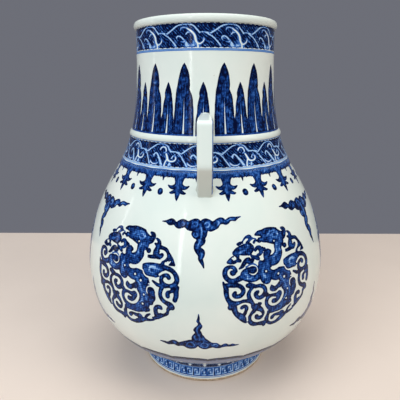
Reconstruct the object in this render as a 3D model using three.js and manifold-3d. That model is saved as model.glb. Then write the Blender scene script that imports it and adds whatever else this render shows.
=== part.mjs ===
// Porcelain hu vase: a pear-shaped storage jar with two angular loop handles.
// The pot is thrown in sections, which are luted edge to edge with slip. A raised
// string covers the neck joint, and the handles are luted on over pads of slip.
// Millimetres, +Z up, origin at the centre of the foot's resting face.
// Azimuth 0 is the side that faces -Y, which carries the front handle.

import * as THREE from 'three';
import { mergeVertices } from 'three/addons/utils/BufferGeometryUtils.js';
import Module from 'manifold-3d';

// Driving dimensions
const height = 450;               // foot to the top of the lip
const bellyRadius = 159.5;        // widest point of the pot
const bellyHeight = 149.5;        // level of the widest point, where two sections meet
const bellyFullUp = 42.5;         // how far the belly stays full above its widest point
const bellyFullDown = 81.5;       // and below it
const shoulderRadius = 119;       // where the shoulder turns from convex to concave
const shoulderHeight = 271;
const shoulderLean = 32.5;        // degrees from upright at that turn
const shoulderFullDown = 42;      // how far that lean holds, down and up
const shoulderFullUp = 56.5;
const mouthRadius = 84;           // outside of the neck under the lip
const neckStraight = 86;          // how far the neck stays near upright below the lip
const neckLean = 1;               // degrees from upright under the lip
const footTopRadius = 86.5;       // where the belly meets the foot
const footHeight = 31.5;
const undersideLean = 63;         // degrees from upright where the belly meets the foot
const undersideFull = 29;
const footBottomRadius = 88.9;
const bodyWall = 7;
const neckWall = 6.5;
const neckJointHeight = 323.1;    // the neck section stands on the shoulder here
const baseThickness = 10;
const baseDrop = 6.5;             // how far the base reaches down inside the foot ring
const baseChamfer = 1;
const floorCoveWidth = 18;        // the floor curves up into the wall over this width
const floorCoveHeight = 5;
const footWall = 10.2;
const footEdgeWidth = 5.5;        // bare ring that the vase stands on
const footOuterBevel = 2.6;
const footInnerBevel = 1.8;
const footInnerLean = 6;          // height over which the foot's inner face leans in
const footSlipLeg = 4;            // slip in the corner between the foot and the base
const lipHeight = 8.5;            // the rolled lip, from its joint to its top
const lipProud = 4.4;             // how far the roll stands out past the neck
const stringHeight = 7.2;         // the raised string over the neck joint
const stringProud = 2.1;
const stringSeatDepth = 1.9;
const strapWidth = 16.5;          // handles
const strapThickness = 11;
const strapEdgeRound = 1.6;
const handleReach = 140;          // axis of the vase to the handle's outer face
const handleTopAtNeck = 350.5;
const handleTopAtCorner = 346.5;
const handleCornerRound = 4.5;
const handleRootDepth = 12;       // how far the raw ends run on, to be cut by the pot
const handleKneeHeight = 300;     // where the upright turns in towards the shoulder
const handleHeelHeight = 265;     // where its outer face reaches the shoulder
const padMargin = 2.4;            // slip squeezed out around a handle's end
const padThickness = 1.8;
const padCornerRound = 4;
const seamNotch = 2.6;            // bevel on the inner edges of a luted joint
const seamProud = 1;              // the smoothed slip stands this far into the pot
const fitGap = 0.3;               // between pieces that touch on curved faces
const turnSegments = 60;
const undersideSteps = 9;         // facets along each stretch of the outline
const shoulderSteps = 6;
const neckSteps = 8;
const rollSteps = 8;              // facets across the lip, the string and small rounds
const stringSteps = 6;
const roundSteps = 3;
const leastStep = 1;              // the outline drops a point nearer than this to an end

const radians = THREE.MathUtils.degToRad;
const v2 = (x, y) => new THREE.Vector2(x, y);

// Glazed and bare porcelain
const glaze = (color) => new THREE.MeshStandardMaterial({ color, roughness: 0.12, metalness: 0 });
const bare = (color) => new THREE.MeshStandardMaterial({ color, roughness: 0.75, metalness: 0 });
const paleGlaze = 0xdde3dc;
const paintedGlaze = 0xb9c4d6;
const footClay = 0xcbb9a0;
const slipClay = 0xe6e2d6;

// Outside of the pot, from the foot up to the lip: underside, shoulder and neck
const lipBase = height - lipHeight;
const turn = v2(shoulderRadius, shoulderHeight);
const lean = radians(shoulderLean);
const turnDown = v2(Math.sin(lean), -Math.cos(lean));
const under = radians(undersideLean);
const collar = radians(neckLean);
const underside = new THREE.CubicBezierCurve(
  v2(footTopRadius, footHeight),
  v2(footTopRadius + undersideFull * Math.sin(under), footHeight + undersideFull * Math.cos(under)),
  v2(bellyRadius, bellyHeight - bellyFullDown),
  v2(bellyRadius, bellyHeight),
);
const shoulder = new THREE.CubicBezierCurve(
  v2(bellyRadius, bellyHeight),
  v2(bellyRadius, bellyHeight + bellyFullUp),
  turn.clone().addScaledVector(turnDown, shoulderFullDown),
  turn.clone(),
);
const neckCurve = new THREE.CubicBezierCurve(
  turn.clone(),
  turn.clone().addScaledVector(turnDown, -shoulderFullUp),
  v2(mouthRadius + neckStraight * Math.sin(collar), lipBase - neckStraight * Math.cos(collar)),
  v2(mouthRadius, lipBase),
);

// Points of a curve moved square to it, outwards when the distance is positive
function offsetCurve(curve, distance, steps) {
  const points = [];
  for (let i = 0; i <= steps; i += 1) {
    const t = i / steps;
    const along = curve.getTangent(t);
    points.push(curve.getPoint(t).add(v2(along.y, -along.x).multiplyScalar(distance)));
  }
  return points;
}

// The whole outline from the foot's top to the lip, moved by one distance
function outline(distance) {
  return [
    ...offsetCurve(underside, distance, undersideSteps),
    ...offsetCurve(shoulder, distance, shoulderSteps).slice(1),
    ...offsetCurve(neckCurve, distance, neckSteps).slice(1),
  ];
}

// Radius of an outline at a height, its end stretches running on past its ends
function radiusAt(points, z) {
  const above = points.findIndex((point) => point.y >= z);
  const upper = above < 0 ? points.length - 1 : Math.max(above, 1);
  const a = points[upper - 1];
  const b = points[upper];
  return THREE.MathUtils.mapLinear(z, a.y, b.y, a.x, b.x);
}

// The stretch of an outline between two heights, with a point at each of them
function between(points, low, high) {
  const middle = points.filter((point) => point.y > low + leastStep && point.y < high - leastStep);
  return [v2(radiusAt(points, low), low), ...middle, v2(radiusAt(points, high), high)];
}

// A closed section turned about the upright axis, with its faces pointing out
function turned(section) {
  let area = 0;
  section.forEach((point, i) => {
    const next = section[(i + 1) % section.length];
    area += point.x * next.y - next.x * point.y;
  });
  const ordered = area > 0 ? [...section] : [...section].reverse();
  const onAxis = ordered.filter((point) => point.x < 1e-9).length;
  if (onAxis === 2) {
    while (ordered[0].x > 1e-9 || ordered[ordered.length - 1].x > 1e-9) ordered.push(ordered.shift());
  } else {
    ordered.push(ordered[0].clone());
  }
  const geometry = new THREE.LatheGeometry(ordered, turnSegments);
  geometry.rotateX(Math.PI / 2);
  return geometry;
}

const outside = outline(0);
const inside = outline(-bodyWall);
const neckInside = outline(-neckWall);
const neckFootInside = radiusAt(inside, neckJointHeight);

// Lower half of the pot: floor, underside and the base that drops into the foot ring
const footBore = footTopRadius - footWall;
const baseRadius = footBore - fitGap;
const baseUnderside = footHeight - baseDrop;
const floorHeight = baseUnderside + baseThickness;
function lowerBody() {
  const bowl = between(inside, floorHeight + floorCoveHeight, bellyHeight - seamNotch).reverse();
  const coveTop = bowl[bowl.length - 1].x;
  return turned([
    v2(0, baseUnderside),
    v2(baseRadius - baseChamfer, baseUnderside),
    v2(baseRadius, baseUnderside + baseChamfer),
    v2(baseRadius, footHeight),
    ...between(outside, footHeight, bellyHeight),
    v2(bellyRadius - bodyWall + seamNotch, bellyHeight),
    ...bowl,
    v2(coveTop - floorCoveWidth / 2, floorHeight + floorCoveHeight / 4),
    v2(coveTop - floorCoveWidth, floorHeight),
    v2(0, floorHeight),
  ]);
}

// Seat for the raised string, cut half into the shoulder and half into the neck
const stringLow = neckJointHeight - stringHeight / 2;
const stringHigh = neckJointHeight + stringHeight / 2;
const seatRadius = radiusAt(outside, neckJointHeight) - stringSeatDepth;

// Upper half of the pot, from the belly joint to the neck joint
function upperBody() {
  return turned([
    ...between(outside, bellyHeight, stringLow - fitGap),
    v2(seatRadius, stringLow - fitGap),
    v2(seatRadius, neckJointHeight),
    v2(neckFootInside + seamNotch, neckJointHeight),
    ...between(inside, bellyHeight + seamNotch, neckJointHeight - seamNotch).reverse(),
    v2(bellyRadius - bodyWall + seamNotch, bellyHeight),
  ]);
}

// Neck, standing on the shoulder and carrying the lip
function neck() {
  return turned([
    v2(seatRadius, neckJointHeight),
    v2(seatRadius, stringHigh + fitGap),
    ...between(outside, stringHigh + fitGap, lipBase),
    ...between(neckInside, neckJointHeight + seamNotch, lipBase).reverse(),
    v2(neckFootInside + seamNotch, neckJointHeight),
  ]);
}

// Rolled lip: half round outside, eased over to the bore of the neck inside
function mouthRim() {
  const roll = lipHeight / 2;
  const bore = radiusAt(neckInside, lipBase);
  const section = [v2(bore, lipBase), v2(mouthRadius, lipBase)];
  for (let i = 1; i <= rollSteps; i += 1) {
    const a = THREE.MathUtils.mapLinear(i, 0, rollSteps, -Math.PI / 2, Math.PI / 2);
    section.push(v2(mouthRadius + lipProud * Math.cos(a), lipBase + roll + roll * Math.sin(a)));
  }
  const ease = (mouthRadius - bore) / 2;
  for (let i = 1; i <= roundSteps; i += 1) {
    const a = (i / roundSteps) * (Math.PI / 2);
    section.push(v2(bore + ease * (1 - Math.sin(a)), height - ease * (1 - Math.cos(a))));
  }
  return turned(section);
}

// Raised string: a half-round coil let into its seat over the neck joint
function neckString() {
  const back = seatRadius + fitGap;
  const section = [v2(back, stringHigh), v2(back, stringLow)];
  for (let i = 0; i <= stringSteps; i += 1) {
    const z = THREE.MathUtils.mapLinear(i, 0, stringSteps, stringLow, stringHigh);
    const offMiddle = (z - neckJointHeight) / (stringHeight / 2);
    const swell = stringProud * Math.sqrt(Math.max(0, 1 - offMiddle ** 2));
    section.push(v2(radiusAt(outside, z) + swell, z));
  }
  return turned(section);
}

// Foot ring: upright wall with a bevelled bare edge, open in the middle
function footRing() {
  const edgeOuter = footBottomRadius - footOuterBevel;
  const edgeInner = edgeOuter - footEdgeWidth;
  return turned([
    v2(edgeInner, 0),
    v2(edgeOuter, 0),
    v2(footBottomRadius, footOuterBevel),
    v2(footTopRadius, footHeight),
    v2(footBore, footHeight),
    v2(footBore, footInnerBevel + footInnerLean),
    v2(edgeInner - footInnerBevel, footInnerBevel),
  ]);
}

// Slip that fills the bevels of a joint and is smoothed to a low ridge inside
function seamSlip(jointRadius, z, wallAbove, wallBelow) {
  const reach = seamNotch - fitGap;
  return turned([
    v2(jointRadius + reach - fitGap, z),
    v2(radiusAt(wallBelow, z - reach), z - reach),
    v2(radiusAt(wallBelow, z - reach) - seamProud, z - reach / 2),
    v2(jointRadius - seamProud, z),
    v2(radiusAt(wallAbove, z + reach) - seamProud, z + reach / 2),
    v2(radiusAt(wallAbove, z + reach), z + reach),
  ]);
}

// Fillet of slip in the corner between the foot ring and the base
function footSlip() {
  const corner = v2(footBore - fitGap, baseUnderside - fitGap);
  const section = [corner];
  for (let i = 0; i <= roundSteps; i += 1) {
    const a = (i / roundSteps) * (Math.PI / 2);
    section.push(v2(
      corner.x - footSlipLeg * (1 - Math.sin(a)),
      corner.y - footSlipLeg * (1 - Math.cos(a)),
    ));
  }
  return turned(section);
}

// Booleans on closed meshes
const wasm = await Module();
wasm.setup();

function toSolid(geometry) {
  const bareShape = geometry.clone();
  bareShape.deleteAttribute('normal');
  bareShape.deleteAttribute('uv');
  const merged = mergeVertices(bareShape, 1e-4);
  const vertProperties = new Float32Array(merged.attributes.position.array);
  return new wasm.Manifold(new wasm.Mesh({
    numProp: 3,
    vertProperties,
    triVerts: new Uint32Array(merged.index.array),
  }));
}

function toGeometry(solid) {
  const mesh = solid.getMesh();
  const geometry = new THREE.BufferGeometry();
  geometry.setAttribute('position', new THREE.BufferAttribute(new Float32Array(mesh.vertProperties), 3));
  geometry.setIndex(new THREE.BufferAttribute(new Uint32Array(mesh.triVerts), 1));
  geometry.computeVertexNormals();
  return geometry;
}

// The filled pot, larger than its outside by a distance: what handles are fitted to
function filledPot(distance) {
  const wall = outline(distance);
  return toSolid(turned([
    v2(0, wall[0].y),
    ...wall,
    v2(0, wall[wall.length - 1].y),
  ]));
}

// Side view of a handle: level arm, upright grip, and a foot that turns in to the shoulder.
// x is the distance from the axis of the vase, y the height.
const kneeRun = handleReach - radiusAt(outside, handleHeelHeight);
const kneeDrop = handleKneeHeight - handleHeelHeight;
const heelAngle = Math.atan2(kneeRun, kneeDrop);
function handleOutline() {
  const inner = handleReach - strapThickness;
  const neckRoot = mouthRadius - handleRootDepth;
  const armRun = handleReach - radiusAt(outside, handleTopAtNeck);
  const topSlope = (handleTopAtNeck - handleTopAtCorner) / armRun;
  const topAt = (x) => handleTopAtCorner + topSlope * (handleReach - x);
  const kneeShift = strapThickness * Math.tan(heelAngle / 2);
  const heelRun = (z) => (handleKneeHeight - z) * Math.tan(heelAngle);
  const end = handleHeelHeight - handleRootDepth;
  const shape = new THREE.Shape();
  shape.moveTo(neckRoot, topAt(neckRoot));
  const corner = topAt(handleReach);
  shape.lineTo(handleReach - handleCornerRound, topAt(handleReach - handleCornerRound));
  shape.quadraticCurveTo(handleReach, corner, handleReach, corner - handleCornerRound);
  shape.lineTo(handleReach, handleKneeHeight);
  shape.lineTo(handleReach - heelRun(end), end);
  shape.lineTo(handleReach - heelRun(end) - 2 * strapThickness, end);
  shape.lineTo(inner - heelRun(handleHeelHeight + kneeShift), handleHeelHeight);
  shape.lineTo(inner, handleKneeHeight + kneeShift);
  const underArm = topAt(inner) - strapThickness;
  shape.lineTo(inner, underArm - handleCornerRound);
  shape.quadraticCurveTo(inner, underArm, inner - handleCornerRound, underArm);
  shape.lineTo(neckRoot, topAt(neckRoot) - strapThickness);
  return shape;
}

// The side view is drawn in the plane of the axis and given the strap's width,
// with its edges rounded. It then reaches along +X.
function rawHandle() {
  const geometry = new THREE.ExtrudeGeometry(handleOutline(), {
    depth: strapWidth - 2 * strapEdgeRound,
    curveSegments: 4,
    bevelEnabled: true,
    bevelThickness: strapEdgeRound,
    bevelSize: strapEdgeRound,
    bevelOffset: -strapEdgeRound,
    bevelSegments: 2,
  });
  geometry.translate(0, 0, strapEdgeRound - strapWidth / 2);
  geometry.rotateX(Math.PI / 2);
  return toSolid(geometry);
}

// A block around one end of the strap, as wide as the slip that is squeezed out there
function padBlock(low, high) {
  const halfWidth = strapWidth / 2 + padMargin;
  const halfHeight = (high - low) / 2 + padMargin;
  const acrossTo = halfWidth - padCornerRound;
  const upTo = halfHeight - padCornerRound;
  const shape = new THREE.Shape();
  shape.moveTo(-acrossTo, -halfHeight);
  shape.lineTo(acrossTo, -halfHeight);
  shape.absarc(acrossTo, -upTo, padCornerRound, -Math.PI / 2, 0);
  shape.lineTo(halfWidth, upTo);
  shape.absarc(acrossTo, upTo, padCornerRound, 0, Math.PI / 2);
  shape.lineTo(-acrossTo, halfHeight);
  shape.absarc(-acrossTo, upTo, padCornerRound, Math.PI / 2, Math.PI);
  shape.lineTo(-halfWidth, -upTo);
  shape.absarc(-acrossTo, -upTo, padCornerRound, Math.PI, 1.5 * Math.PI);
  const geometry = new THREE.ExtrudeGeometry(shape, {
    depth: handleReach,
    bevelEnabled: false,
    curveSegments: 4,
  });
  geometry.rotateX(Math.PI / 2);
  geometry.rotateZ(Math.PI / 2);
  geometry.translate(0, 0, (low + high) / 2);
  return toSolid(geometry);
}

const potWithGap = filledPot(fitGap);
const potWithPad = filledPot(fitGap + padThickness);
const potWithPadGap = filledPot(fitGap + padThickness + fitGap);
const handleSolid = rawHandle().subtract(potWithPadGap);
const padLayer = potWithPad.subtract(potWithGap);
const upperPadSolid = padLayer.intersect(padBlock(handleTopAtNeck - strapThickness, handleTopAtNeck));
const heelContact = strapThickness / Math.sin(heelAngle + lean) * Math.cos(lean);
const lowerPadSolid = padLayer.intersect(padBlock(handleHeelHeight, handleHeelHeight + heelContact));

// The assembly
const vase = new THREE.Group();

function add(name, geometry, material, holder = vase) {
  const mesh = new THREE.Mesh(geometry, material);
  mesh.name = name;
  holder.add(mesh);
}

add('foot_ring', footRing(), bare(footClay));
add('lower_body', lowerBody(), glaze(paleGlaze));
add('upper_body', upperBody(), glaze(paleGlaze));
add('neck', neck(), glaze(paintedGlaze));
add('neck_string', neckString(), glaze(paleGlaze));
add('mouth_rim', mouthRim(), glaze(paleGlaze));
add('foot_joint_slip', footSlip(), bare(slipClay));
add('belly_joint_slip', seamSlip(bellyRadius - bodyWall, bellyHeight, inside, inside), bare(slipClay));
add('neck_joint_slip', seamSlip(neckFootInside, neckJointHeight, neckInside, inside), bare(slipClay));

// Two handles, opposite each other: the front one faces -Y
for (const [side, angle] of [['front', -90], ['back', 90]]) {
  const holder = new THREE.Group();
  holder.rotation.z = radians(angle);
  vase.add(holder);
  add(`${side}_handle`, toGeometry(handleSolid), glaze(paleGlaze), holder);
  add(`${side}_handle_neck_slip`, toGeometry(upperPadSolid), glaze(slipClay), holder);
  add(`${side}_handle_shoulder_slip`, toGeometry(lowerPadSolid), glaze(slipClay), holder);
}

export default vase;
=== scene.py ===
import math

import bmesh
import bpy
import numpy as np
from mathutils import Euler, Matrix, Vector


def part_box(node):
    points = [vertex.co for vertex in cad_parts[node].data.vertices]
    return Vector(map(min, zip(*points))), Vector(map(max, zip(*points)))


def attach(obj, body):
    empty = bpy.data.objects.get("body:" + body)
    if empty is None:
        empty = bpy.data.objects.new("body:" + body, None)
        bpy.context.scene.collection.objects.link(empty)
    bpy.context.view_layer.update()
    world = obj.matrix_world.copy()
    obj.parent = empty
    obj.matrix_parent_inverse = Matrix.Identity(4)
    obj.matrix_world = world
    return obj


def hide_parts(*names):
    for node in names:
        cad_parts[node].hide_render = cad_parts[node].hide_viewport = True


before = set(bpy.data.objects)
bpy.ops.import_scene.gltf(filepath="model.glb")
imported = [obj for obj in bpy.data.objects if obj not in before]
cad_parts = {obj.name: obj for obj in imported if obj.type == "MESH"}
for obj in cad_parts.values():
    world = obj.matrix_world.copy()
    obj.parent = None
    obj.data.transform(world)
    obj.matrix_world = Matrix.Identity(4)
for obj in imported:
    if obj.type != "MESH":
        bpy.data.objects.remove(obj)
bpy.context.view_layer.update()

# The foot ring: a turned porcelain collar, luted under the pot.
# It is glazed outside and inside, and wiped bare where it stands, so that it
# does not stick to the kiln shelf. The levels of the joints come from the frame.
foot_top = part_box("foot_ring")[1].z
foot_bottom_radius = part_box("foot_ring")[1].x
foot_top_radius = 0.0865
foot_bore_radius = 0.0763
foot_edge_width = 0.0055
foot_outer_bevel = 0.0026
foot_inner_bevel = 0.0018
foot_inner_lean = 0.006
foot_roll_across = 0.0005
foot_roll_up = 0.0008
foot_steps = 320
same_place = 1e-6
glaze_stops_from = 0.0025
glaze_stops_to = 0.0035
glaze_edge_waver = 0.0022

thick_glaze_colour = (0.655, 0.725, 0.690)
thin_glaze_colour = (0.735, 0.775, 0.735)
iron_speck_colour = (0.30, 0.24, 0.17)
dark_biscuit_colour = (0.30, 0.20, 0.125)
pale_biscuit_colour = (0.56, 0.44, 0.31)
biscuit_roughness = 0.8
glaze_ior = 1.5
smoothest_glaze = 0.07
roughest_glaze = 0.16


def bezier(start, pull_a, pull_b, end, steps):
    """Points (radius, height) along a cubic curve, ends included."""
    t = np.linspace(0, 1, steps + 1)[:, None]
    a, b, c, d = (np.array(p, float) for p in (start, pull_a, pull_b, end))
    return (1 - t) ** 3 * a + 3 * (1 - t) ** 2 * t * b + 3 * (1 - t) * t * t * c + t ** 3 * d


def straight(start, end, step=0.002):
    """Points from start to end, no further apart than the step."""
    a, b = np.array(start, float), np.array(end, float)
    count = max(1, math.ceil(np.linalg.norm(b - a) / step))
    return a + (b - a) * np.linspace(0, 1, count + 1)[:, None]


def joined(*stretches):
    """One list of points from several stretches, without the doubled ends."""
    points = [tuple(stretches[0][0])]
    for stretch in stretches:
        for point in stretch:
            if math.dist(point, points[-1]) > same_place:
                points.append(tuple(point))
    return points


def feed(tree, node, inputs):
    """Gives each named input of a node another node's output, or a plain value."""
    for socket, value in inputs.items():
        if isinstance(value, bpy.types.NodeSocket):
            tree.links.new(value, node.inputs[socket])
        else:
            node.inputs[socket].default_value = value


def add(tree, kind, inputs=None, **settings):
    """A new node, with its settings made and its inputs fed."""
    node = tree.nodes.new(kind)
    for setting, value in settings.items():
        setattr(node, setting, value)
    feed(tree, node, inputs or {})
    return node


def maths(tree, operation, *values):
    """The output of a Math node on its values."""
    return add(tree, "ShaderNodeMath", dict(enumerate(values)), operation=operation).outputs[0]


def shape_tree(name, result, **given):
    """A geometry node tree with its named inputs and one result, and the outputs of its first node."""
    tree = bpy.data.node_groups.new(name, "GeometryNodeTree")
    for label, kind in given.items():
        socket = label.replace("_", " ")
        tree.interface.new_socket(socket, in_out="INPUT", socket_type="NodeSocket" + kind)
    tree.interface.new_socket(result, in_out="OUTPUT", socket_type="NodeSocketGeometry")
    return tree, tree.nodes.new("NodeGroupInput").outputs


def finish_tree(tree, shape, material, result):
    """Ends a geometry node tree: the shape made real, with its material, as the result."""
    real = add(tree, "GeometryNodeRealizeInstances", {0: shape})
    coat = add(tree, "GeometryNodeSetMaterial", {"Geometry": real.outputs[0], "Material": material})
    add(tree, "NodeGroupOutput", {result: coat.outputs[0]})


def wheel_tree():
    """Geometry nodes that turn an outline of (radius, 0, height) points about the upright axis."""
    tree, given = shape_tree("Turned on the wheel", "Pot",
                             Outline="Geometry", Steps_Round="Int", Glaze="Material")
    outline, steps = given["Outline"], given["Steps Round"]
    rows = add(tree, "GeometryNodeAttributeDomainSize", {"Geometry": outline}).outputs["Point Count"]
    columns = maths(tree, "ADD", steps, 1)
    grid = add(tree, "GeometryNodeMeshGrid", {"Vertices X": columns, "Vertices Y": rows}).outputs["Mesh"]
    index = tree.nodes.new("GeometryNodeInputIndex").outputs[0]
    ring = maths(tree, "FLOOR", maths(tree, "DIVIDE", index, rows))
    row = maths(tree, "MODULO", index, rows)
    place = tree.nodes.new("GeometryNodeInputPosition").outputs[0]
    spot = add(tree, "GeometryNodeSampleIndex", {"Geometry": outline}, data_type="FLOAT_VECTOR")
    feed(tree, spot, {"Value": place, "Index": row})
    angle = maths(tree, "MULTIPLY", maths(tree, "DIVIDE", ring, steps), 2 * math.pi)
    turn = add(tree, "ShaderNodeVectorRotate", {"Vector": spot.outputs[0], "Angle": angle},
               rotation_type="Z_AXIS")
    lay = add(tree, "GeometryNodeSetPosition", {"Geometry": grid, "Position": turn.outputs[0]})
    weld = add(tree, "GeometryNodeMergeByDistance", {"Geometry": lay.outputs[0], "Distance": same_place})
    finish_tree(tree, weld.outputs[0], given["Glaze"], "Pot")
    return tree


wheel = wheel_tree()


def shown(name, data):
    """A new object in the scene, with its mesh, lamp or lens."""
    piece = bpy.data.objects.new(name, data)
    bpy.context.scene.collection.objects.link(piece)
    return piece


def worked_out(blank):
    """The plain mesh that a blank's modifiers make. The blank and its modifiers go."""
    bpy.context.view_layer.update()
    shape = blank.evaluated_get(bpy.context.evaluated_depsgraph_get())
    mesh = bpy.data.meshes.new_from_object(shape)
    blank.modifiers.clear()
    bpy.data.objects.remove(blank)
    return mesh


def grown(seed, tree, name, **sizes):
    """The plain mesh that a geometry node tree makes from a seed mesh, as a new object."""
    blank = shown(name + "_seed", seed)
    modifier = blank.modifiers.new("Shape", "NODES")
    modifier.node_group = tree
    sockets = {s.name: s.identifier for s in tree.interface.items_tree if s.in_out == "INPUT"}
    for size, value in sizes.items():
        modifier[sockets[size.replace("_", " ")]] = value
    mesh = worked_out(blank)
    mesh.name = name
    return shown(name, mesh)


def turned(name, outline, finish, steps, sharp=35):
    """A closed solid of revolution. The outline runs anticlockwise, seen with the axis on the left."""
    seed = bpy.data.meshes.new(name + "_outline")
    seed.from_pydata([(r, 0, z) for r, z in outline], [], [])
    piece = grown(seed, wheel, name, Steps_Round=steps, Glaze=finish)
    faces_out = bmesh.new()
    faces_out.from_mesh(piece.data)
    bmesh.ops.recalc_face_normals(faces_out, faces=faces_out.faces)
    faces_out.to_mesh(piece.data)
    faces_out.free()
    piece.data.shade_smooth()
    piece.data.set_sharp_from_angle(angle=math.radians(sharp))
    return piece


def shaded(material):
    """A material's node tree and shader."""
    material.use_nodes = True
    return material.node_tree, material.node_tree.nodes["Principled BSDF"]


def noise(tree, place, scale, detail=2, roughness=0.5):
    """A soft random pattern from 0 to 1."""
    inputs = {"Vector": place, "Scale": scale, "Detail": detail, "Roughness": roughness}
    return add(tree, "ShaderNodeTexNoise", inputs).outputs["Fac"]


def mapped(tree, value, given, wanted=(0, 1), clamp=True):
    """A value carried over from a given (lowest, highest) to the wanted ones."""
    inputs = {"Value": value, "From Min": given[0], "From Max": given[1],
              "To Min": wanted[0], "To Max": wanted[1]}
    return add(tree, "ShaderNodeMapRange", inputs, clamp=clamp).outputs["Result"]


def mixed(tree, share, first, second, **settings):
    """A mix of two colours, or of what the data_type says."""
    mix = add(tree, "ShaderNodeMix", **{"data_type": "RGBA", **settings})
    feed(tree, mix, {"Factor": share, "A": first, "B": second})
    return mix.outputs["Result"]


def ramp(tree, value, *stops):
    """A colour for each value, through two or more (value, colour) stops."""
    node = add(tree, "ShaderNodeValToRGB", {"Fac": value})
    elements = node.color_ramp.elements
    first, *between, last = stops
    elements[0].position = first[0]
    elements[1].position = last[0]
    for position, _ in between:
        elements.new(position)
    for element, (_, colour) in zip(elements, stops):
        element.color = (*colour, 1)
    return node.outputs["Color"]


def clear_glaze():
    """Glossy porcelain glaze: milky white with a blue-green cast that gathers where it ran thick."""
    material = bpy.data.materials.new("clear_glaze")
    tree, shader = shaded(material)
    where = tree.nodes.new("ShaderNodeTexCoord").outputs["Object"]
    cloud = noise(tree, where, scale=14, detail=3)
    tint = ramp(tree, cloud, (0.34, thick_glaze_colour), (0.68, thin_glaze_colour))
    specks = add(tree, "ShaderNodeTexVoronoi", {"Vector": where, "Scale": 95}).outputs
    round_speck = mapped(tree, specks["Distance"], (0.035, 0.055), (1, 0))
    one_in_ten = mapped(tree, specks["Color"], (0.90, 0.92))
    speck = maths(tree, "MULTIPLY", round_speck, one_in_ten)
    uneven_skin = noise(tree, where, scale=120)
    bump = add(tree, "ShaderNodeBump", {"Strength": 0.12, "Distance": 0.0004, "Height": uneven_skin})
    feed(tree, shader, {
        "IOR": glaze_ior,
        "Base Color": mixed(tree, speck, tint, (*iron_speck_colour, 1)),
        "Roughness": mapped(tree, cloud, (0, 1), (smoothest_glaze, roughest_glaze)),
        "Normal": bump.outputs["Normal"],
    })
    return material


glaze = clear_glaze()


def glaze_again(name):
    """A copy of the clear glaze, its tree, its shader, and what its colour is made by."""
    material = glaze.copy()
    material.name = name
    tree, shader = shaded(material)
    return material, tree, shader, shader.inputs["Base Color"].links[0].from_socket


def wiped_foot():
    """The clear glaze, with the lowest few millimetres wiped off to tan biscuit clay."""
    material, tree, shader, white = glaze_again("wiped_foot")
    gloss = shader.inputs["Roughness"].links[0].from_socket
    where = tree.nodes.new("ShaderNodeTexCoord").outputs["Object"]
    height = add(tree, "ShaderNodeSeparateXYZ", {"Vector": where}).outputs["Z"]
    edge = maths(tree, "MULTIPLY_ADD", noise(tree, where, scale=60), -glaze_edge_waver, height)
    glazed = mapped(tree, edge, (glaze_stops_from, glaze_stops_to))
    grain = noise(tree, where, scale=420, detail=4)
    clay = ramp(tree, grain, (0.3, dark_biscuit_colour), (0.7, pale_biscuit_colour))
    feed(tree, shader, {
        "Base Color": mixed(tree, glazed, clay, white),
        "Roughness": mixed(tree, glazed, biscuit_roughness, gloss, data_type="FLOAT"),
    })
    return material


foot_edge_outer = foot_bottom_radius - foot_outer_bevel
foot_edge_inner = foot_edge_outer - foot_edge_width
bore_starts = foot_inner_bevel + foot_inner_lean
foot = turned("glazed_foot_ring", joined(
    straight((foot_edge_inner, 0), (foot_edge_outer, 0)),
    bezier((foot_edge_outer, 0), (foot_bottom_radius - foot_roll_across, 0),
           (foot_bottom_radius, foot_roll_up), (foot_bottom_radius, foot_outer_bevel), steps=6),
    straight((foot_bottom_radius, foot_outer_bevel), (foot_top_radius, foot_top)),
    straight((foot_top_radius, foot_top), (foot_bore_radius, foot_top)),
    straight((foot_bore_radius, foot_top), (foot_bore_radius, bore_starts)),
    straight((foot_bore_radius, bore_starts), (foot_edge_inner - foot_inner_bevel, foot_inner_bevel)),
    straight((foot_edge_inner - foot_inner_bevel, foot_inner_bevel), (foot_edge_inner, 0)),
), wiped_foot(), foot_steps)
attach(foot, "root")
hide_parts("foot_ring")

# The lower half of the pot: a thrown bowl of porcelain under clear glaze.
# Its thick base drops into the foot ring, and its open edge, at the widest
# level, is where the upper half was luted on.
belly_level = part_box("upper_body")[0].z
belly_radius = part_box("lower_body")[1].x
base_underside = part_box("lower_body")[0].z
base_radius = 0.0760
base_thickness = 0.010
body_wall = 0.007
belly_full_down = 0.0815
underside_lean = math.radians(63)
underside_full = 0.029
floor_cove = 0.018
cove_height = 0.005
cove_lead = 3
seam_notch = 0.0026
pot_steps = 240

under_pull = (foot_top_radius + underside_full * math.sin(underside_lean),
              foot_top + underside_full * math.cos(underside_lean))
underside = bezier((foot_top_radius, foot_top), under_pull,
                   (belly_radius, belly_level - belly_full_down), (belly_radius, belly_level), steps=80)


def wall_inside(outline, wall):
    """The outline moved square to itself, into the pot, by the wall's thickness."""
    along = np.gradient(outline, axis=0)
    along /= np.linalg.norm(along, axis=1)[:, None]
    return outline - wall * np.stack([along[:, 1], -along[:, 0]], axis=1)


floor_level = base_underside + base_thickness
lower_inside = wall_inside(underside, body_wall)
bowl = lower_inside[(lower_inside[:, 1] > floor_level + cove_height)
                    & (lower_inside[:, 1] < belly_level - seam_notch)][::-1]
seam_edge = (belly_radius - body_wall + seam_notch, belly_level)
floor_edge = (bowl[-1][0] - floor_cove, floor_level)
cove = bezier(bowl[-1], bowl[-1] + (bowl[-1] - bowl[-2]) * cove_lead,
              (bowl[-1][0] - floor_cove / 2, floor_level), floor_edge, steps=10)
lower_body = turned("lower_body_glazed", joined(
    straight((0, base_underside), (base_radius, base_underside)),
    straight((base_radius, base_underside), (base_radius, foot_top)),
    underside,
    straight((belly_radius, belly_level), seam_edge),
    straight(seam_edge, (belly_radius - body_wall, belly_level - seam_notch)),
    bowl,
    cove,
    straight(floor_edge, (0, floor_level)),
), glaze, pot_steps)
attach(lower_body, "root")
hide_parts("lower_body")

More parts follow.
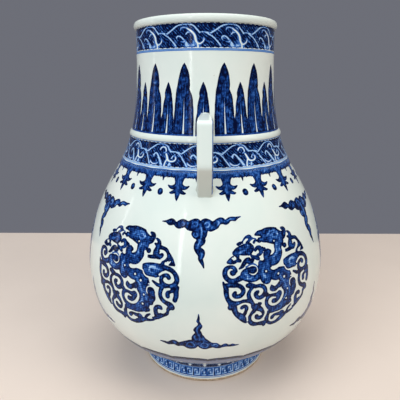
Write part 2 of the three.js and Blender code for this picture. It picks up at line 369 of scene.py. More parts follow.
# The upper half of the pot: shoulder and upper belly, thrown as one section
# and luted to the lower half. Its top edge carries the neck and holds half of
# the seat that the raised string is pressed into.
neck_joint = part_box("neck")[0].z
shoulder_radius = 0.119
shoulder_level = 0.271
shoulder_lean = math.radians(32.5)
shoulder_full_down = 0.042
shoulder_full_up = 0.0565
belly_full_up = 0.0425
mouth_radius = 0.084
neck_straight = 0.086
neck_lean = math.radians(1)
lip_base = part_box("mouth_rim")[0].z
string_settled = 0.0009
string_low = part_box("neck_string")[0].z - string_settled
string_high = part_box("neck_string")[1].z - string_settled
string_seat_depth = 0.0019

lean_down = np.array([math.sin(shoulder_lean), -math.cos(shoulder_lean)])
turn_point = np.array([shoulder_radius, shoulder_level])
shoulder = bezier((belly_radius, belly_level), (belly_radius, belly_level + belly_full_up),
                  turn_point + shoulder_full_down * lean_down, turn_point, steps=70)
neck_curve = bezier(turn_point, turn_point - shoulder_full_up * lean_down,
                    (mouth_radius + neck_straight * math.sin(neck_lean),
                     lip_base - neck_straight * math.cos(neck_lean)),
                    (mouth_radius, lip_base), steps=90)
above_belly = np.concatenate([shoulder, neck_curve[1:]])


def radius_at(outline, level):
    """Radius of an outline at a height."""
    return float(np.interp(level, outline[:, 1], outline[:, 0]))


def stretch(outline, low, high, apart=2e-4):
    """The part of an outline between two heights, with a point at each of them."""
    middle = outline[(outline[:, 1] > low + apart) & (outline[:, 1] < high - apart)]
    return np.concatenate([[(radius_at(outline, low), low)], middle,
                           [(radius_at(outline, high), high)]])


seat_radius = radius_at(above_belly, neck_joint) - string_seat_depth
body_inside = wall_inside(above_belly, body_wall)
seam_top = belly_level + seam_notch
joint_edge = (radius_at(body_inside, neck_joint) + seam_notch, neck_joint)
upper_body = turned("upper_body_glazed", joined(
    stretch(above_belly, belly_level, string_low),
    straight((radius_at(above_belly, string_low), string_low), (seat_radius, string_low)),
    straight((seat_radius, string_low), (seat_radius, neck_joint)),
    straight((seat_radius, neck_joint), joint_edge),
    stretch(body_inside, seam_top, neck_joint - seam_notch)[::-1],
    straight((radius_at(body_inside, seam_top), seam_top), seam_edge),
    straight(seam_edge, (belly_radius, belly_level)),
), glaze, pot_steps)
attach(upper_body, "root")
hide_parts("upper_body")

# The neck: a slightly flared collar of porcelain, thrown separately and stood
# on the shoulder. Its upper edge runs into the lip.
neck_wall = 0.0065
neck_inside = wall_inside(above_belly, neck_wall)
neck_inside_foot = (radius_at(neck_inside, neck_joint + seam_notch), neck_joint + seam_notch)
lip_bore = radius_at(neck_inside, lip_base)
neck = turned("neck_glazed", joined(
    straight((seat_radius, neck_joint), (seat_radius, string_high)),
    straight((seat_radius, string_high), (radius_at(above_belly, string_high), string_high)),
    stretch(above_belly, string_high, lip_base),
    straight((mouth_radius, lip_base), (lip_bore, lip_base)),
    stretch(neck_inside, neck_joint + seam_notch, lip_base)[::-1],
    straight(neck_inside_foot, joint_edge),
    straight(joint_edge, (seat_radius, neck_joint)),
), glaze, pot_steps)
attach(neck, "root")
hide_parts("neck")

# The raised string: a half-round coil of clay pressed over the neck joint.
# It was smoothed in place with a wet finger and stays white between the bands.
string_proud = 0.0021
string_middle = (string_low + string_high) / 2
string_angles = np.linspace(-math.pi / 2, math.pi / 2, 17)
string_levels = string_middle + (string_high - string_low) / 2 * np.sin(string_angles)
string_face = [(radius_at(above_belly, z) + string_proud * math.cos(a), z)
               for z, a in zip(string_levels, string_angles)]
string = turned("neck_string_glazed", joined(
    string_face,
    straight(string_face[-1], (seat_radius, string_high)),
    straight((seat_radius, string_high), (seat_radius, string_low)),
    straight((seat_radius, string_low), string_face[0]),
), glaze, pot_steps)
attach(string, "root")
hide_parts("neck_string")

# The lip: the neck's edge thickened into a round roll and left unpainted.
# The glaze is thin and very white on it, and eases over into the mouth.
lip_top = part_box("mouth_rim")[1].z
lip_drawn_in = 0.0017
lip_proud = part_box("mouth_rim")[1].x - mouth_radius - lip_drawn_in
lip_roll = (lip_top - lip_base) / 2
lip_ease = (mouth_radius - lip_bore) / 2
lip_angles = np.linspace(-math.pi / 2, math.pi / 2, 25)
ease_angles = np.linspace(0, math.pi / 2, 9)
lip_face = [(mouth_radius + lip_proud * math.cos(a), lip_base + lip_roll * (1 + math.sin(a)))
            for a in lip_angles]
lip_over = [(lip_bore + lip_ease * (1 - math.sin(a)), lip_top - lip_ease * (1 - math.cos(a)))
            for a in ease_angles]
lip = turned("mouth_rim_glazed", joined(
    [(lip_bore, lip_base)],
    lip_face,
    lip_over,
    straight(lip_over[-1], (lip_bore, lip_base)),
), glaze, pot_steps, sharp=50)
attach(lip, "root")
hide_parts("mouth_rim")

# The luting slip inside the joints: low ridges left by the potter's finger.
# They went through the kiln under the same glaze as the walls.
for node in ("foot_joint_slip", "belly_joint_slip", "neck_joint_slip"):
    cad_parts[node].data.materials.clear()
    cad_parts[node].data.materials.append(glaze)

# The two handles: straps pressed in a mould, bent to a square loop, and luted
# to the neck and the shoulder over slip. The glaze rounds every edge, and the
# slip around both ends is smoothed into a fillet.
strap_width = 0.0165
strap_thickness = 0.011
handle_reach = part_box("back_handle")[1].y
top_at_neck = 0.3505
top_at_corner = 0.3465
corner_round = 0.0045
knee_level = 0.300
knee_round = 0.005
inner_knee_round = 0.007
heel_level = 0.265
heel_in = 0.004
heel_up = 0.001
root_depth = 0.004
arm_root_width = 0.58
arm_narrows_above = knee_level + 0.02
edge_round = 0.0016
pad_proud = 0.0022
pad_sunk = 0.0004
pad_slope_reach = 0.004
pad_swell = 1.5
neck_pad_level = top_at_neck - strap_thickness / 2 - 0.0005
neck_pad_half = 0.0068
shoulder_pad_level = heel_level + 0.0067
shoulder_pad_half = 0.0108
handle_grain = 0.0009
rim_line = 0.0016
rim_line_in_view = 0.0013
rim_line_behind = 0.0002
line_clear_of_pot = 0.003
dark_line_colour = (0.012, 0.035, 0.16)
pale_line_colour = (0.085, 0.19, 0.48)
# Painted shade on the strap below the knee, where it faces down, and painted light on the strap above it.
painted_shade_below_knee = (0.87, 0.85, 0.82)
painted_light_above_knee = (1.06, 1.09, 1.10)
painted_light_from = knee_level + 0.001
painted_shade_deepest_below = knee_level - 0.003


def rounded(corner, before, after, radius, steps=6):
    """Points that round off a corner between two neighbours."""
    corner, before, after = (np.array(p, float) for p in (corner, before, after))
    start = corner + (before - corner) * min(1, radius / np.linalg.norm(before - corner))
    end = corner + (after - corner) * min(1, radius / np.linalg.norm(after - corner))
    t = np.linspace(0, 1, steps + 1)[:, None]
    return (1 - t) ** 2 * start + 2 * (1 - t) * t * corner + t * t * end


def handle_side_view():
    """Outline of the strap seen from the side, as (distance from the axis, height) points."""
    run = handle_reach - radius_at(above_belly, heel_level)
    heel_angle = math.atan2(run, knee_level - heel_level)
    slope = (top_at_neck - top_at_corner) / (handle_reach - radius_at(above_belly, top_at_neck))
    root = radius_at(above_belly, top_at_neck) - root_depth
    inner = handle_reach - strap_thickness
    toe_level = heel_level - root_depth
    top_root = (root, top_at_corner + slope * (handle_reach - root))
    top_corner = (handle_reach, top_at_corner)
    knee_out = (handle_reach, knee_level)
    toe_out = (handle_reach - (knee_level - toe_level) * math.tan(heel_angle), toe_level)
    toe_in = (inner - (knee_level - heel_level) * math.tan(heel_angle) - heel_in, heel_level + heel_up)
    knee_in = (inner, knee_level + strap_thickness * math.tan(heel_angle / 2))
    arm_corner = (inner, top_at_corner + slope * strap_thickness - strap_thickness)
    arm_root = (root, top_root[1] - strap_thickness)
    ring = [(point, 0) for point in np.linspace(top_root, top_corner, 6)[:-1]]
    ring += [(top_corner, corner_round), (knee_out, knee_round), (toe_out, 0), (toe_in, 0),
             (knee_in, inner_knee_round), (arm_corner, corner_round)]
    ring += [(point, 0) for point in np.linspace(arm_corner, arm_root, 5)[1:]]
    points = []
    for i, (corner, radius) in enumerate(ring):
        if radius:
            points.extend(rounded(corner, ring[i - 1][0], ring[(i + 1) % len(ring)][0], radius))
        else:
            points.append(np.array(corner))
    return points


def lined():
    """The glaze again, over a blue line along the edges of the strap, with painted shade below the knee and
    painted light above it.
    """
    material, tree, shader, white = glaze_again("glaze_over_blue_line")
    where = tree.nodes.new("ShaderNodeTexCoord").outputs["Object"]
    brush = noise(tree, where, scale=300)
    blue = ramp(tree, brush, (0.36, dark_line_colour), (0.66, pale_line_colour))
    line = add(tree, "ShaderNodeAttribute", attribute_name="line").outputs["Fac"]
    cover = mapped(tree, line, (-0.25, 0.35))
    # Painted shade below the knee and painted light above it, multiplied into the glaze's colour.
    height = add(tree, "ShaderNodeSeparateXYZ", {"Vector": where}).outputs["Z"]
    painted_light_share = mapped(tree, height, (painted_shade_deepest_below, painted_light_from))
    cast = mixed(tree, painted_light_share, (*painted_shade_below_knee, 1), (*painted_light_above_knee, 1))
    white_with_painted_shade = mixed(tree, 1, white, cast, blend_type="MULTIPLY")
    feed(tree, shader, {"Base Color": mixed(tree, cover, white_with_painted_shade, blue)})
    return material


def strap_and_pads(outline, side):
    """The sharp-edged strap with a lump of slip at each end, as one mesh."""
    shape = bmesh.new()
    face = shape.faces.new([shape.verts.new((-strap_width / 2, side * y, z)) for y, z in outline])
    rim = list(face.edges)
    swept = bmesh.ops.extrude_face_region(shape, geom=[face])["geom"]
    moved = [v for v in swept if isinstance(v, bmesh.types.BMVert)]
    rim += [e for e in swept if isinstance(e, bmesh.types.BMEdge)]
    bmesh.ops.translate(shape, verts=moved, vec=(strap_width, 0, 0))
    bmesh.ops.bevel(shape, geom=rim, offset=edge_round, segments=3, affect="EDGES", profile=0.5)
    arm_starts = radius_at(above_belly, top_at_neck)
    arm_ends = handle_reach - strap_thickness / 2
    for vert in shape.verts:
        if vert.co.z > arm_narrows_above:
            out = (abs(vert.co.y) - arm_starts) / (arm_ends - arm_starts)
            spread = math.sin(min(max(out, 0), 1) * math.pi / 2)
            vert.co.x *= arm_root_width + (1 - arm_root_width) * spread
    for level, half_height, share in ((neck_pad_level, neck_pad_half, arm_root_width),
                                      (shoulder_pad_level, shoulder_pad_half, 1)):
        below = radius_at(above_belly, level - pad_slope_reach)
        above = radius_at(above_belly, level + pad_slope_reach)
        slope = math.atan2(below - above, 2 * pad_slope_reach)
        tilt = Euler((-side * slope, 0, 0)).to_matrix()
        pad = bmesh.ops.create_icosphere(shape, subdivisions=4, radius=1)["verts"]
        pad_size = (strap_width / 2 * share + pad_proud, pad_proud * pad_swell, half_height)
        bmesh.ops.scale(shape, verts=pad, vec=pad_size)
        bmesh.ops.rotate(shape, verts=pad, cent=(0, 0, 0), matrix=tilt)
        pad_middle = side * (radius_at(above_belly, level) - pad_sunk)
        bmesh.ops.translate(shape, verts=pad, vec=(0, pad_middle, level))
    bmesh.ops.recalc_face_normals(shape, faces=shape.faces)
    mesh = bpy.data.meshes.new("strap_and_pads")
    shape.to_mesh(mesh)
    shape.free()
    return mesh


def mark_blue_line(mesh, outline, side):
    """Writes at each point how far inside the blue line it lies, in millimetres."""
    places = np.empty(len(mesh.vertices) * 3)
    mesh.vertices.foreach_get("co", places)
    across, along, up = places.reshape(-1, 3).T
    to_rim = np.full(len(across), np.inf)
    spot = np.stack([side * along, up], axis=1)
    for a, b in zip(outline, outline[1:] + outline[:1]):
        way = np.asarray(b) - np.asarray(a)
        part = np.clip((spot - a) @ way / (way @ way), 0, 1)
        to_rim = np.minimum(to_rim, np.linalg.norm(spot - a - part[:, None] * way, axis=1))
    blue_edge = np.abs(across) - strap_width / 2
    blue_edge += np.where(-side * across > 0, rim_line_in_view, rim_line_behind)
    line = np.minimum(rim_line - to_rim, blue_edge)
    off_the_pot = side * along - np.interp(up, above_belly[:, 1], above_belly[:, 0])
    line = np.minimum(line, off_the_pot - line_clear_of_pot) * 1000
    mesh.attributes.new("line", "FLOAT", "POINT").data.foreach_set("value", line)


lined_glaze = lined()


def glazed_handle(name, side):
    """The strap and its slip, fused and softened as the glaze leaves them. side is -1 at the front."""
    outline = handle_side_view()
    blank = shown(name + "_blank", strap_and_pads(outline, side))
    remesh = blank.modifiers.new("Fused", "REMESH")
    remesh.mode = "VOXEL"
    remesh.voxel_size = handle_grain
    soften = blank.modifiers.new("Softened", "SMOOTH")
    soften.factor = 0.5
    soften.iterations = 7
    soft = worked_out(blank)
    soft.name = name
    soft.shade_smooth()
    soft.materials.clear()
    soft.materials.append(lined_glaze)
    mark_blue_line(soft, outline, side)
    piece = shown(name, soft)
    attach(piece, "root")
    return piece


front_handle = glazed_handle("front_handle_glazed", -1)
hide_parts("front_handle", "front_handle_neck_slip", "front_handle_shoulder_slip")
back_handle = glazed_handle("back_handle_glazed", 1)
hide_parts("back_handle", "back_handle_neck_slip", "back_handle_shoulder_slip")

# The painting: cobalt oxide brushed on the raw glaze and fired into it.
# Each motif is a skin of colour a tenth of a millimetre thick. It is drawn flat in
# millimetres, u to the right and v up, then laid on the pot along its outline.
paint_top = 0.00010
paint_sunk = 0.00006
brush_soft = 0.7
deepest = 4.0
far_out = 9.0
lean_reach = 0.0005
outline_foot = straight((foot_bottom_radius, foot_outer_bevel), (foot_top_radius, foot_top))
pot_outline = np.array(joined(outline_foot, underside, above_belly))
outline_steps = np.linalg.norm(np.diff(pot_outline, axis=0), axis=1)
outline_length = np.concatenate([[0], np.cumsum(outline_steps)])
motif_turn = math.radians(-1.3)


def arc_at(level, angle):
    """Length in millimetres of an arc round the pot at a level."""
    return radius_at(pot_outline, level) * angle * 1000


def on_the_pot(u, v, level, lift, wheel_radius=None):
    """Place of a flat drawing's point on the pot, with the drawing's origin at azimuth 0 and a level.
    Widths keep their length unless wheel_radius is given, which keeps their share of the turn."""
    start = np.interp(level, pot_outline[:, 1], outline_length)
    along = start + np.asarray(v) * 0.001
    radius = np.interp(along, outline_length, pot_outline[:, 0])
    height = np.interp(along, outline_length, pot_outline[:, 1])
    ahead = np.interp(along + lean_reach, outline_length, pot_outline[:, 0])
    behind = np.interp(along - lean_reach, outline_length, pot_outline[:, 0])
    lean = np.arcsin(np.clip((ahead - behind) / (2 * lean_reach), -1, 1))
    turn = np.asarray(u) * 0.001 / (wheel_radius or radius)
    out = radius + lift * np.cos(lean)
    return np.stack([out * np.sin(turn), -out * np.cos(turn), height - lift * np.sin(lean)], axis=-1)


def smooth(a, b, c, d, t):
    """Points at the shares t of the way from b to c, on a smooth curve that goes on to a and d."""
    return 0.5 * (2 * b + (c - a) * t + (2 * a - 5 * b + 4 * c - d) * t ** 2
                  + (3 * b - a - 3 * c + d) * t ** 3)


class Drawing:
    """A flat sheet that brush strokes are laid on. depth is how far inside the colour a spot lies."""

    def __init__(self, width, height, grain, middle=(0, 0)):
        across = max(2, round(width / grain))
        up = max(2, round(height / grain))
        self.us = middle[0] + np.linspace(-width / 2, width / 2, across + 1)
        self.vs = middle[1] + np.linspace(-height / 2, height / 2, up + 1)
        self.u, self.v = np.meshgrid(self.us, self.vs)
        self.depth = np.full(self.u.shape, -far_out)
        self.tone = np.full(self.u.shape, 0.5)

    def shape(self, points, dot_step=0.35, margin=2.5):
        """Depth of one brush stroke through (u, v, width) points, drawn as a smooth curve of dots."""
        p = np.array(points, float)
        if len(p) == 1:
            p = np.repeat(p, 2, axis=0)
        ends = np.concatenate([[2 * p[0] - p[1]], p, [2 * p[-1] - p[-2]]])
        dots = []
        for a, b, c, d in zip(ends, ends[1:], ends[2:], ends[3:]):
            count = max(2, math.ceil(math.dist(b[:2], c[:2]) / dot_step))
            dots.append(smooth(a, b, c, d, np.linspace(0, 1, count, endpoint=False)[:, None]))
        dots = np.concatenate(dots + [p[-1:]])
        reach = dots[:, 2].max() / 2 + margin
        columns = slice(*np.searchsorted(self.us, [dots[:, 0].min() - reach, dots[:, 0].max() + reach]))
        rows = slice(*np.searchsorted(self.vs, [dots[:, 1].min() - reach, dots[:, 1].max() + reach]))
        u, v = self.u[rows, columns], self.v[rows, columns]
        found = np.full(self.depth.shape, -far_out)
        nearest = found[rows, columns]
        for x, y, width in dots:
            np.maximum(nearest, width / 2 - np.hypot(u - x, v - y), out=nearest)
        return found

    def ink(self, points, tone):
        """Lays one stroke of colour."""
        self.lay(self.shape(points), tone)

    def lay(self, shape, tone):
        """Lays a shape of colour over what is there."""
        cover = np.clip(0.5 + shape / brush_soft, 0, 1)
        self.tone = self.tone * (1 - cover) + tone * cover
        self.depth = np.maximum(self.depth, shape)

    def shade(self, points, strength, core, fade):
        """Darkens, or with a strength below 0 lightens, the colour along one soft stroke."""
        self.tone += strength * np.clip(core + self.shape(points) / fade, 0, 1)

    def spare(self, points):
        """Scratches or leaves out one stroke, so that the white shows."""
        self.depth = np.minimum(self.depth, -self.shape(points))

    def blob(self, corners, steps=4):
        """Depth of a closed outline that runs smoothly through its corners."""
        b = np.array(corners, float)
        a, c, d = np.roll(b, 1, axis=0), np.roll(b, -1, axis=0), np.roll(b, -2, axis=0)
        ring = [smooth(a, b, c, d, t) for t in np.arange(steps) / steps]
        return self.area(np.stack(ring, axis=1).reshape(-1, 2))

    def area(self, corners):
        """Depth of a closed outline of straight sides."""
        inside = np.zeros(self.u.shape, bool)
        nearest = np.full(self.u.shape, far_out)
        loop = [np.array(corner, float) for corner in corners]
        for a, b in zip(loop, loop[1:] + loop[:1]):
            crosses = (a[1] > self.v) != (b[1] > self.v)
            rise = b[1] - a[1] if b[1] != a[1] else 1e-9
            inside ^= crosses & (self.u < (b[0] - a[0]) * (self.v - a[1]) / rise + a[0])
            way = b - a
            t = np.clip(((self.u - a[0]) * way[0] + (self.v - a[1]) * way[1]) / (way @ way), 0, 1)
            off = np.hypot(self.u - a[0] - t * way[0], self.v - a[1] - t * way[1])
            nearest = np.minimum(nearest, off)
        return np.where(inside, nearest, -nearest)

    def flat_faces(self):
        """The coloured part as flat faces: its (u, v, tone, depth) spots, and the rings between them."""
        inside = self.depth > 0
        found, spots, faces = {}, [], []

        def spot(key, *values):
            if key not in found:
                found[key] = len(spots)
                spots.append(values)
            return found[key]

        filled = inside[:-1, :-1] | inside[1:, :-1] | inside[:-1, 1:] | inside[1:, 1:]
        for j, i in zip(*np.nonzero(filled)):
            ring = ((j, i), (j, i + 1), (j + 1, i + 1), (j + 1, i))
            face = []
            for a, b in zip(ring, ring[1:] + ring[:1]):
                if inside[a]:
                    face.append(spot(a, self.us[a[1]], self.vs[a[0]], self.tone[a], self.depth[a]))
                if inside[a] != inside[b]:
                    first, last = min(a, b), max(a, b)
                    t = self.depth[first] / (self.depth[first] - self.depth[last])
                    t = min(max(t, 0.02), 0.98)
                    u = self.us[first[1]] + t * (self.us[last[1]] - self.us[first[1]])
                    v = self.vs[first[0]] + t * (self.vs[last[0]] - self.vs[first[0]])
                    tone = self.tone[a] if inside[a] else self.tone[b]
                    face.append(spot((first, last), u, v, tone, 0.0))
            faces.append(face)
        return np.array(spots), faces

    def skin(self, name, level, wheel_radius=None):
        """The colour as a thin closed mesh on the pot, with its tone and depth as attributes."""
        spots, faces = self.flat_faces()
        u, v, tones, depths = spots.T
        count = len(u)
        upper = on_the_pot(u, v, level, paint_top, wheel_radius)
        lower = on_the_pot(u, v, level, -paint_sunk, wheel_radius)
        sides = set()
        for face in faces:
            sides.update(zip(face, face[1:] + face[:1]))
        rim = sorted((a, b) for a, b in sides if (b, a) not in sides)
        under = [[count + k for k in reversed(face)] for face in faces]
        walls = [[b, a, count + a, count + b] for a, b in rim]
        mesh = bpy.data.meshes.new(name)
        mesh.from_pydata(np.concatenate([upper, lower]).tolist(), [], faces + under + walls)
        brush = np.tile(np.stack([u, v, 0 * u], axis=1), (2, 1))
        mesh.attributes.new("tone", "FLOAT", "POINT").data.foreach_set("value", np.tile(tones, 2))
        depths = np.tile(np.clip(depths, 0, deepest), 2)
        mesh.attributes.new("depth", "FLOAT", "POINT").data.foreach_set("value", depths)
        mesh.attributes.new("brush", "FLOAT_VECTOR", "POINT").data.foreach_set("vector", brush.ravel())
        mesh.shade_smooth()
        mesh.set_sharp_from_angle(angle=math.radians(50))
        return mesh


def round_tree():
    """Geometry nodes that repeat a motif round the pot at even angles."""
    tree, given = shape_tree("Repeated round the pot", "Border", Motif="Geometry", Count="Int",
                             First_Angle="Float", Angle_Step="Float", Cobalt="Material")
    marks = add(tree, "GeometryNodePoints", {"Count": given["Count"]})
    index = tree.nodes.new("GeometryNodeInputIndex").outputs[0]
    angle = maths(tree, "MULTIPLY_ADD", index, given["Angle Step"], given["First Angle"])
    turn = add(tree, "ShaderNodeCombineXYZ", {"Z": angle})
    copies = add(tree, "GeometryNodeInstanceOnPoints", {"Points": marks.outputs[0]})
    feed(tree, copies, {"Instance": given["Motif"], "Rotation": turn.outputs[0]})
    finish_tree(tree, copies.outputs[0], given["Cobalt"], "Border")
    return tree


blackest_cobalt = (0.0007, 0.0030, 0.026)
stroke_cobalt = (0.0072, 0.043, 0.212)
wash_cobalt = (0.048, 0.170, 0.50)
palest_cobalt = (0.35, 0.52, 0.75)
cobalt_roughness = 0.1
cobalt_specular = 0.15
comb_pitch = 3.8
hairs_per_millimetre = 0.9
hair_stretch = 6
mottle_share = 1.9
mottle_depth = 0.42
comb_depth = 0.42


def cobalt_blue(name, darkest=blackest_cobalt, middle=stroke_cobalt, wash=wash_cobalt,
                palest=palest_cobalt, combed=0.0):
    """Cobalt under glaze: near black where the brush paused, blue in the strokes, pale at the edges."""
    material = bpy.data.materials.new(name)
    tree, shader = shaded(material)
    where = tree.nodes.new("ShaderNodeTexCoord").outputs["Object"]
    flat = add(tree, "ShaderNodeAttribute", attribute_name="brush").outputs["Vector"]
    tone = add(tree, "ShaderNodeAttribute", attribute_name="tone").outputs["Fac"]
    depth = add(tree, "ShaderNodeAttribute", attribute_name="depth").outputs["Fac"]
    mottle = noise(tree, where, scale=250, detail=3, roughness=0.6)
    hair_scale = (hairs_per_millimetre, hairs_per_millimetre / hair_stretch, 1)
    comb = add(tree, "ShaderNodeMapping", {"Vector": flat, "Scale": hair_scale}).outputs["Vector"]
    rough = maths(tree, "MULTIPLY_ADD", mottle, mottle_share, noise(tree, comb, scale=1.0))
    uneven = mapped(tree, rough, (1.07, 1.83), (-mottle_depth, mottle_depth), clamp=False)
    strength = maths(tree, "MULTIPLY_ADD", uneven, tone, tone)
    lines = add(tree, "ShaderNodeTexWave", {
        "Vector": flat, "Scale": 2 * math.pi / (10 * comb_pitch),
        "Distortion": 5.0, "Detail": 1, "Detail Scale": 1.2,
    }, bands_direction="DIAGONAL").outputs["Fac"]
    lift = mapped(tree, lines, (0.62, 1), (0.06 * combed, -comb_depth * combed))
    combing = maths(tree, "MULTIPLY_ADD", lift, tone, strength)
    pooled = mapped(tree, depth, (0.5, 2.1), (0.20, -0.24))
    edge = mapped(tree, depth, (0, brush_soft), (0.45, 1))
    laid = maths(tree, "MULTIPLY", maths(tree, "ADD", combing, pooled), edge)
    feed(tree, shader, {
        "IOR": glaze_ior,
        "Roughness": cobalt_roughness,
        "Specular IOR Level": cobalt_specular,
        "Base Color": ramp(tree, laid, (0.0, palest), (0.16, wash), (0.52, middle), (0.92, darkest)),
    })
    return material


cobalt = cobalt_blue("cobalt_blue")
combed_cobalt = cobalt_blue("combed_cobalt", combed=1.0)
border = round_tree()


def painted(name, motif, count, first_angle, step, colour=cobalt):
    """A piece of the painting: one motif repeated round the pot."""
    piece = grown(motif, border, name, Count=count, First_Angle=first_angle, Angle_Step=step, Cobalt=colour)
    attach(piece, "root")


# Breaking-wave borders round the top of the neck and under the string.
# The brush filled the band with dark cobalt and left the crests, curls and
# foam bare; fine combed lines of water run between them.
upper_waves_round = 11
upper_wave_level = 0.4292
upper_wave_height = 24.9
upper_wave_start = math.radians(3.4)
lower_waves_round = 14
lower_wave_level = 0.3052
lower_wave_height = 26.8
lower_wave_start = 0.0178 / radius_at(pot_outline, lower_wave_level)
wave_length = 48.0
band_edge_bare = 0.4
band_edge_depth = 3.0
band_edge_wavers = ((0.30, 7), (0.2, 17))
water_tone = 1.02
upper_water_darker = 0.24
water_darkens_over = 7
foam_paler = 0.85
foam_core = 0.25
foam_fade = 3
foam_palest = 0.05
line_fades = {"fine": (0.75, 1.3), "broad": (1.0, 1.2)}
bare_share = 0.75
bare_margin = 0.5
upper_wave_lines = (
    # the back of the wave, from its trough over the crest
    ("fine", [(1.3, 2.2, 1.1), (4.8, 4.2, 1.2), (8.7, 6.7, 1.2), (11.9, 8.8, 1.1), (15.7, 10.1, 0.9),
              (20.2, 10.7, 0.8), (25.3, 10.6, 0.8), (29.2, 9.8, 0.9), (31.8, 8.3, 1.0), (33.7, 6.4, 1.1),
              (36.2, 3.8, 1.2), (36.9, 2.2, 0.9)]),
    ("fine", [(37, 2.8, 0.6), (41, 3.1, 0.7), (46, 2.6, 0.6), (49, 2.2, 0.5)]),
    ("fine", [(-4.8, 2.6, 0.7), (-1.6, 1, 1.0), (1.6, -0.8, 1.0), (4.8, -3.2, 1.1), (8, -6.4, 1.2),
              (10.3, -9.3, 1.4), (11.9, -12.6, 1.7)]),
    # the breaking crest and the hollow under it
    ("broad", [(16.9, 5.1, 0.9), (17.7, 7.1, 1.3), (20.2, 7.7, 1.2), (23.4, 7.1, 1.5), (26, 5.4, 2.2),
               (28.9, 3.5, 2.6), (31.1, 1.3, 3.0), (32.5, -1.3, 3.3), (33, -3.8, 3.4), (33.8, -6.2, 3.0),
               (35.2, -7.8, 2.5), (37.2, -8.4, 2.2), (39.4, -7.4, 1.9), (41, -6.1, 1.8),
               (41.8, -4.2, 1.6), (41.4, -2.4, 0.8)]),
    ("fine", [(22.6, 1, 0.9), (24.7, 2.9, 1.0), (27.9, 3, 0.8)]),
    ("broad", [(34.8, -8, 2.2), (35.4, -10, 2.6), (35.6, -13, 3.4)]),
    # the small curl before it
    ("fine", [(12.4, -2.9, 0.9), (12.8, -1.3, 1.1), (15.1, -0.7, 1.1), (17.7, -1.9, 1.2),
              (20.2, -4.2, 1.4), (22.1, -6.4, 1.8), (23.4, -8.3, 2.2), (24.6, -10.6, 2.6)]),
    ("broad", [(17.3, -6.1, 0.8), (19.6, -6.4, 1.2), (21.2, -6, 1.6), (21.6, -4.6, 0.8)]),
)
upper_foam = ((34.2, -8.6, 7), (30, -10.8, 7), (25.4, -11.4, 6), (36.8, -11.4, 6), (22.6, -10.4, 4),
              (31, -6, 4))
lower_wave_lines = (
    ("fine", [(1.5, 2.0, 1.1), (4.2, 4.0, 1.1), (7.0, 6.0, 1.2), (11.2, 8.7, 1.1), (15.3, 10.7, 1.0),
              (20.5, 11.8, 0.9), (25.5, 11.6, 0.9), (28.6, 10.6, 1.1), (31.4, 8.7, 1.3), (33.2, 6.5, 1.4),
              (35.6, 3.7, 1.3)]),
    ("fine", [(35.6, 3.7, 0.9), (40, 3.9, 0.9), (44.4, 3.6, 0.8), (48.8, 2.2, 0.8)]),
    ("fine", [(-5, 3.0, 0.7), (-2, 1.8, 1.0), (1.8, -1.7, 1.1), (5.6, -7, 1.3), (8.4, -11.4, 1.6),
              (9.6, -14, 2)]),
    # the crest rolled right over, and the water that falls from it
    ("broad", [(21, 5.4, 1.9), (22.2, 7.5, 2.0), (24.9, 8.6, 2.0), (27.6, 7.9, 2.1), (29.2, 5.6, 2.0),
               (29.2, 3.4, 1.5), (26.4, 1.8, 0.8)]),
    ("broad", [(30, 0.9, 2.6), (31.3, -1.3, 3.0), (32.4, -3.8, 3.2), (33.8, -6.0, 2.8), (36.4, -7.0, 2.4),
               (39.8, -6.9, 2.3), (42.4, -5.4, 2.2), (43.0, -2.8, 2.0), (41.4, -0.8, 1.0)]),
    ("broad", [(32, -5.4, 2.4), (30.4, -8.8, 2.2), (29.6, -13.8, 2.6)]),
    ("fine", [(36.8, -8, 1.4), (35.6, -11, 1.8), (34.8, -14, 2)]),
    # the lower curl at its foot
    ("broad", [(9.0, -7.9, 1.4), (10.8, -9.9, 1.7), (14.6, -11.4, 1.8), (18.8, -10.8, 1.6),
               (21.4, -9.1, 1.0)]),
    ("fine", [(13.4, -3.0, 0.8), (13.2, -0.8, 1.2), (15.2, 1.1, 1.3), (17.6, 0.1, 1.5), (19.8, -2.4, 1.8),
              (22, -5.4, 2), (24.2, -8.8, 2.2), (26.0, -12, 2.6)]),
    ("fine", [(-6.4, 0.8, 0.6), (-8.6, -1.0, 0.8), (-10.4, -3.6, 0.8)]),
)
lower_foam = ((31.8, -10.2, 5), (26.2, -12.4, 5), (37.4, -12, 5), (13, -12.6, 3), (32.4, -4, 5))


def wave_border(name, level, height, start, count, lines, foam_spots):
    """One breaking wave, stretched to its share of the pot's turn and repeated.
    Its fine lines are thinned colour, and its broad ones are left bare in the middle."""
    turn = 2 * math.pi / count
    length = arc_at(level, turn)
    widen = length / wave_length
    sheet = Drawing(length, height=height, grain=0.7, middle=(length / 2, 0))
    edge = height / 2
    swing = sheet.u * 2 * math.pi / length
    waver = sum(size * np.sin(swing * times) for size, times in band_edge_wavers)
    band = edge - band_edge_bare - np.abs(sheet.v) + waver
    sheet.lay(np.minimum(band, band_edge_depth), tone=water_tone)
    sheet.tone = water_tone + upper_water_darker * np.clip((sheet.v + edge) / water_darkens_over, 0, 1)
    for shift in (-wave_length, 0, wave_length):
        for u, v, size in foam_spots:
            foam = sheet.shape([((u + shift) * widen, v, size)])
            left = np.clip(sheet.tone - foam_palest, 0, 1)
            sheet.tone -= foam_paler * np.clip(foam_core + foam / foam_fade, 0, 1) * left
        for kind, line in lines:
            here = [((u + shift) * widen, v, width) for u, v, width in line]
            core, steepness = line_fades[kind]
            sheet.tone *= 1 - np.clip(core + steepness * sheet.shape(here), 0, 1)
            if kind == "broad":
                sheet.spare([(u, v, width * bare_share - bare_margin) for u, v, width in here])
    motif = sheet.skin(name + "_unit", level, radius_at(pot_outline, level))
    painted(name, motif, count, start, turn, combed_cobalt)


wave_border("neck_wave_border", upper_wave_level, upper_wave_height, upper_wave_start,
            upper_waves_round, upper_wave_lines, upper_foam)
wave_border("shoulder_wave_border", lower_wave_level, lower_wave_height, lower_wave_start,
            lower_waves_round, lower_wave_lines, lower_foam)

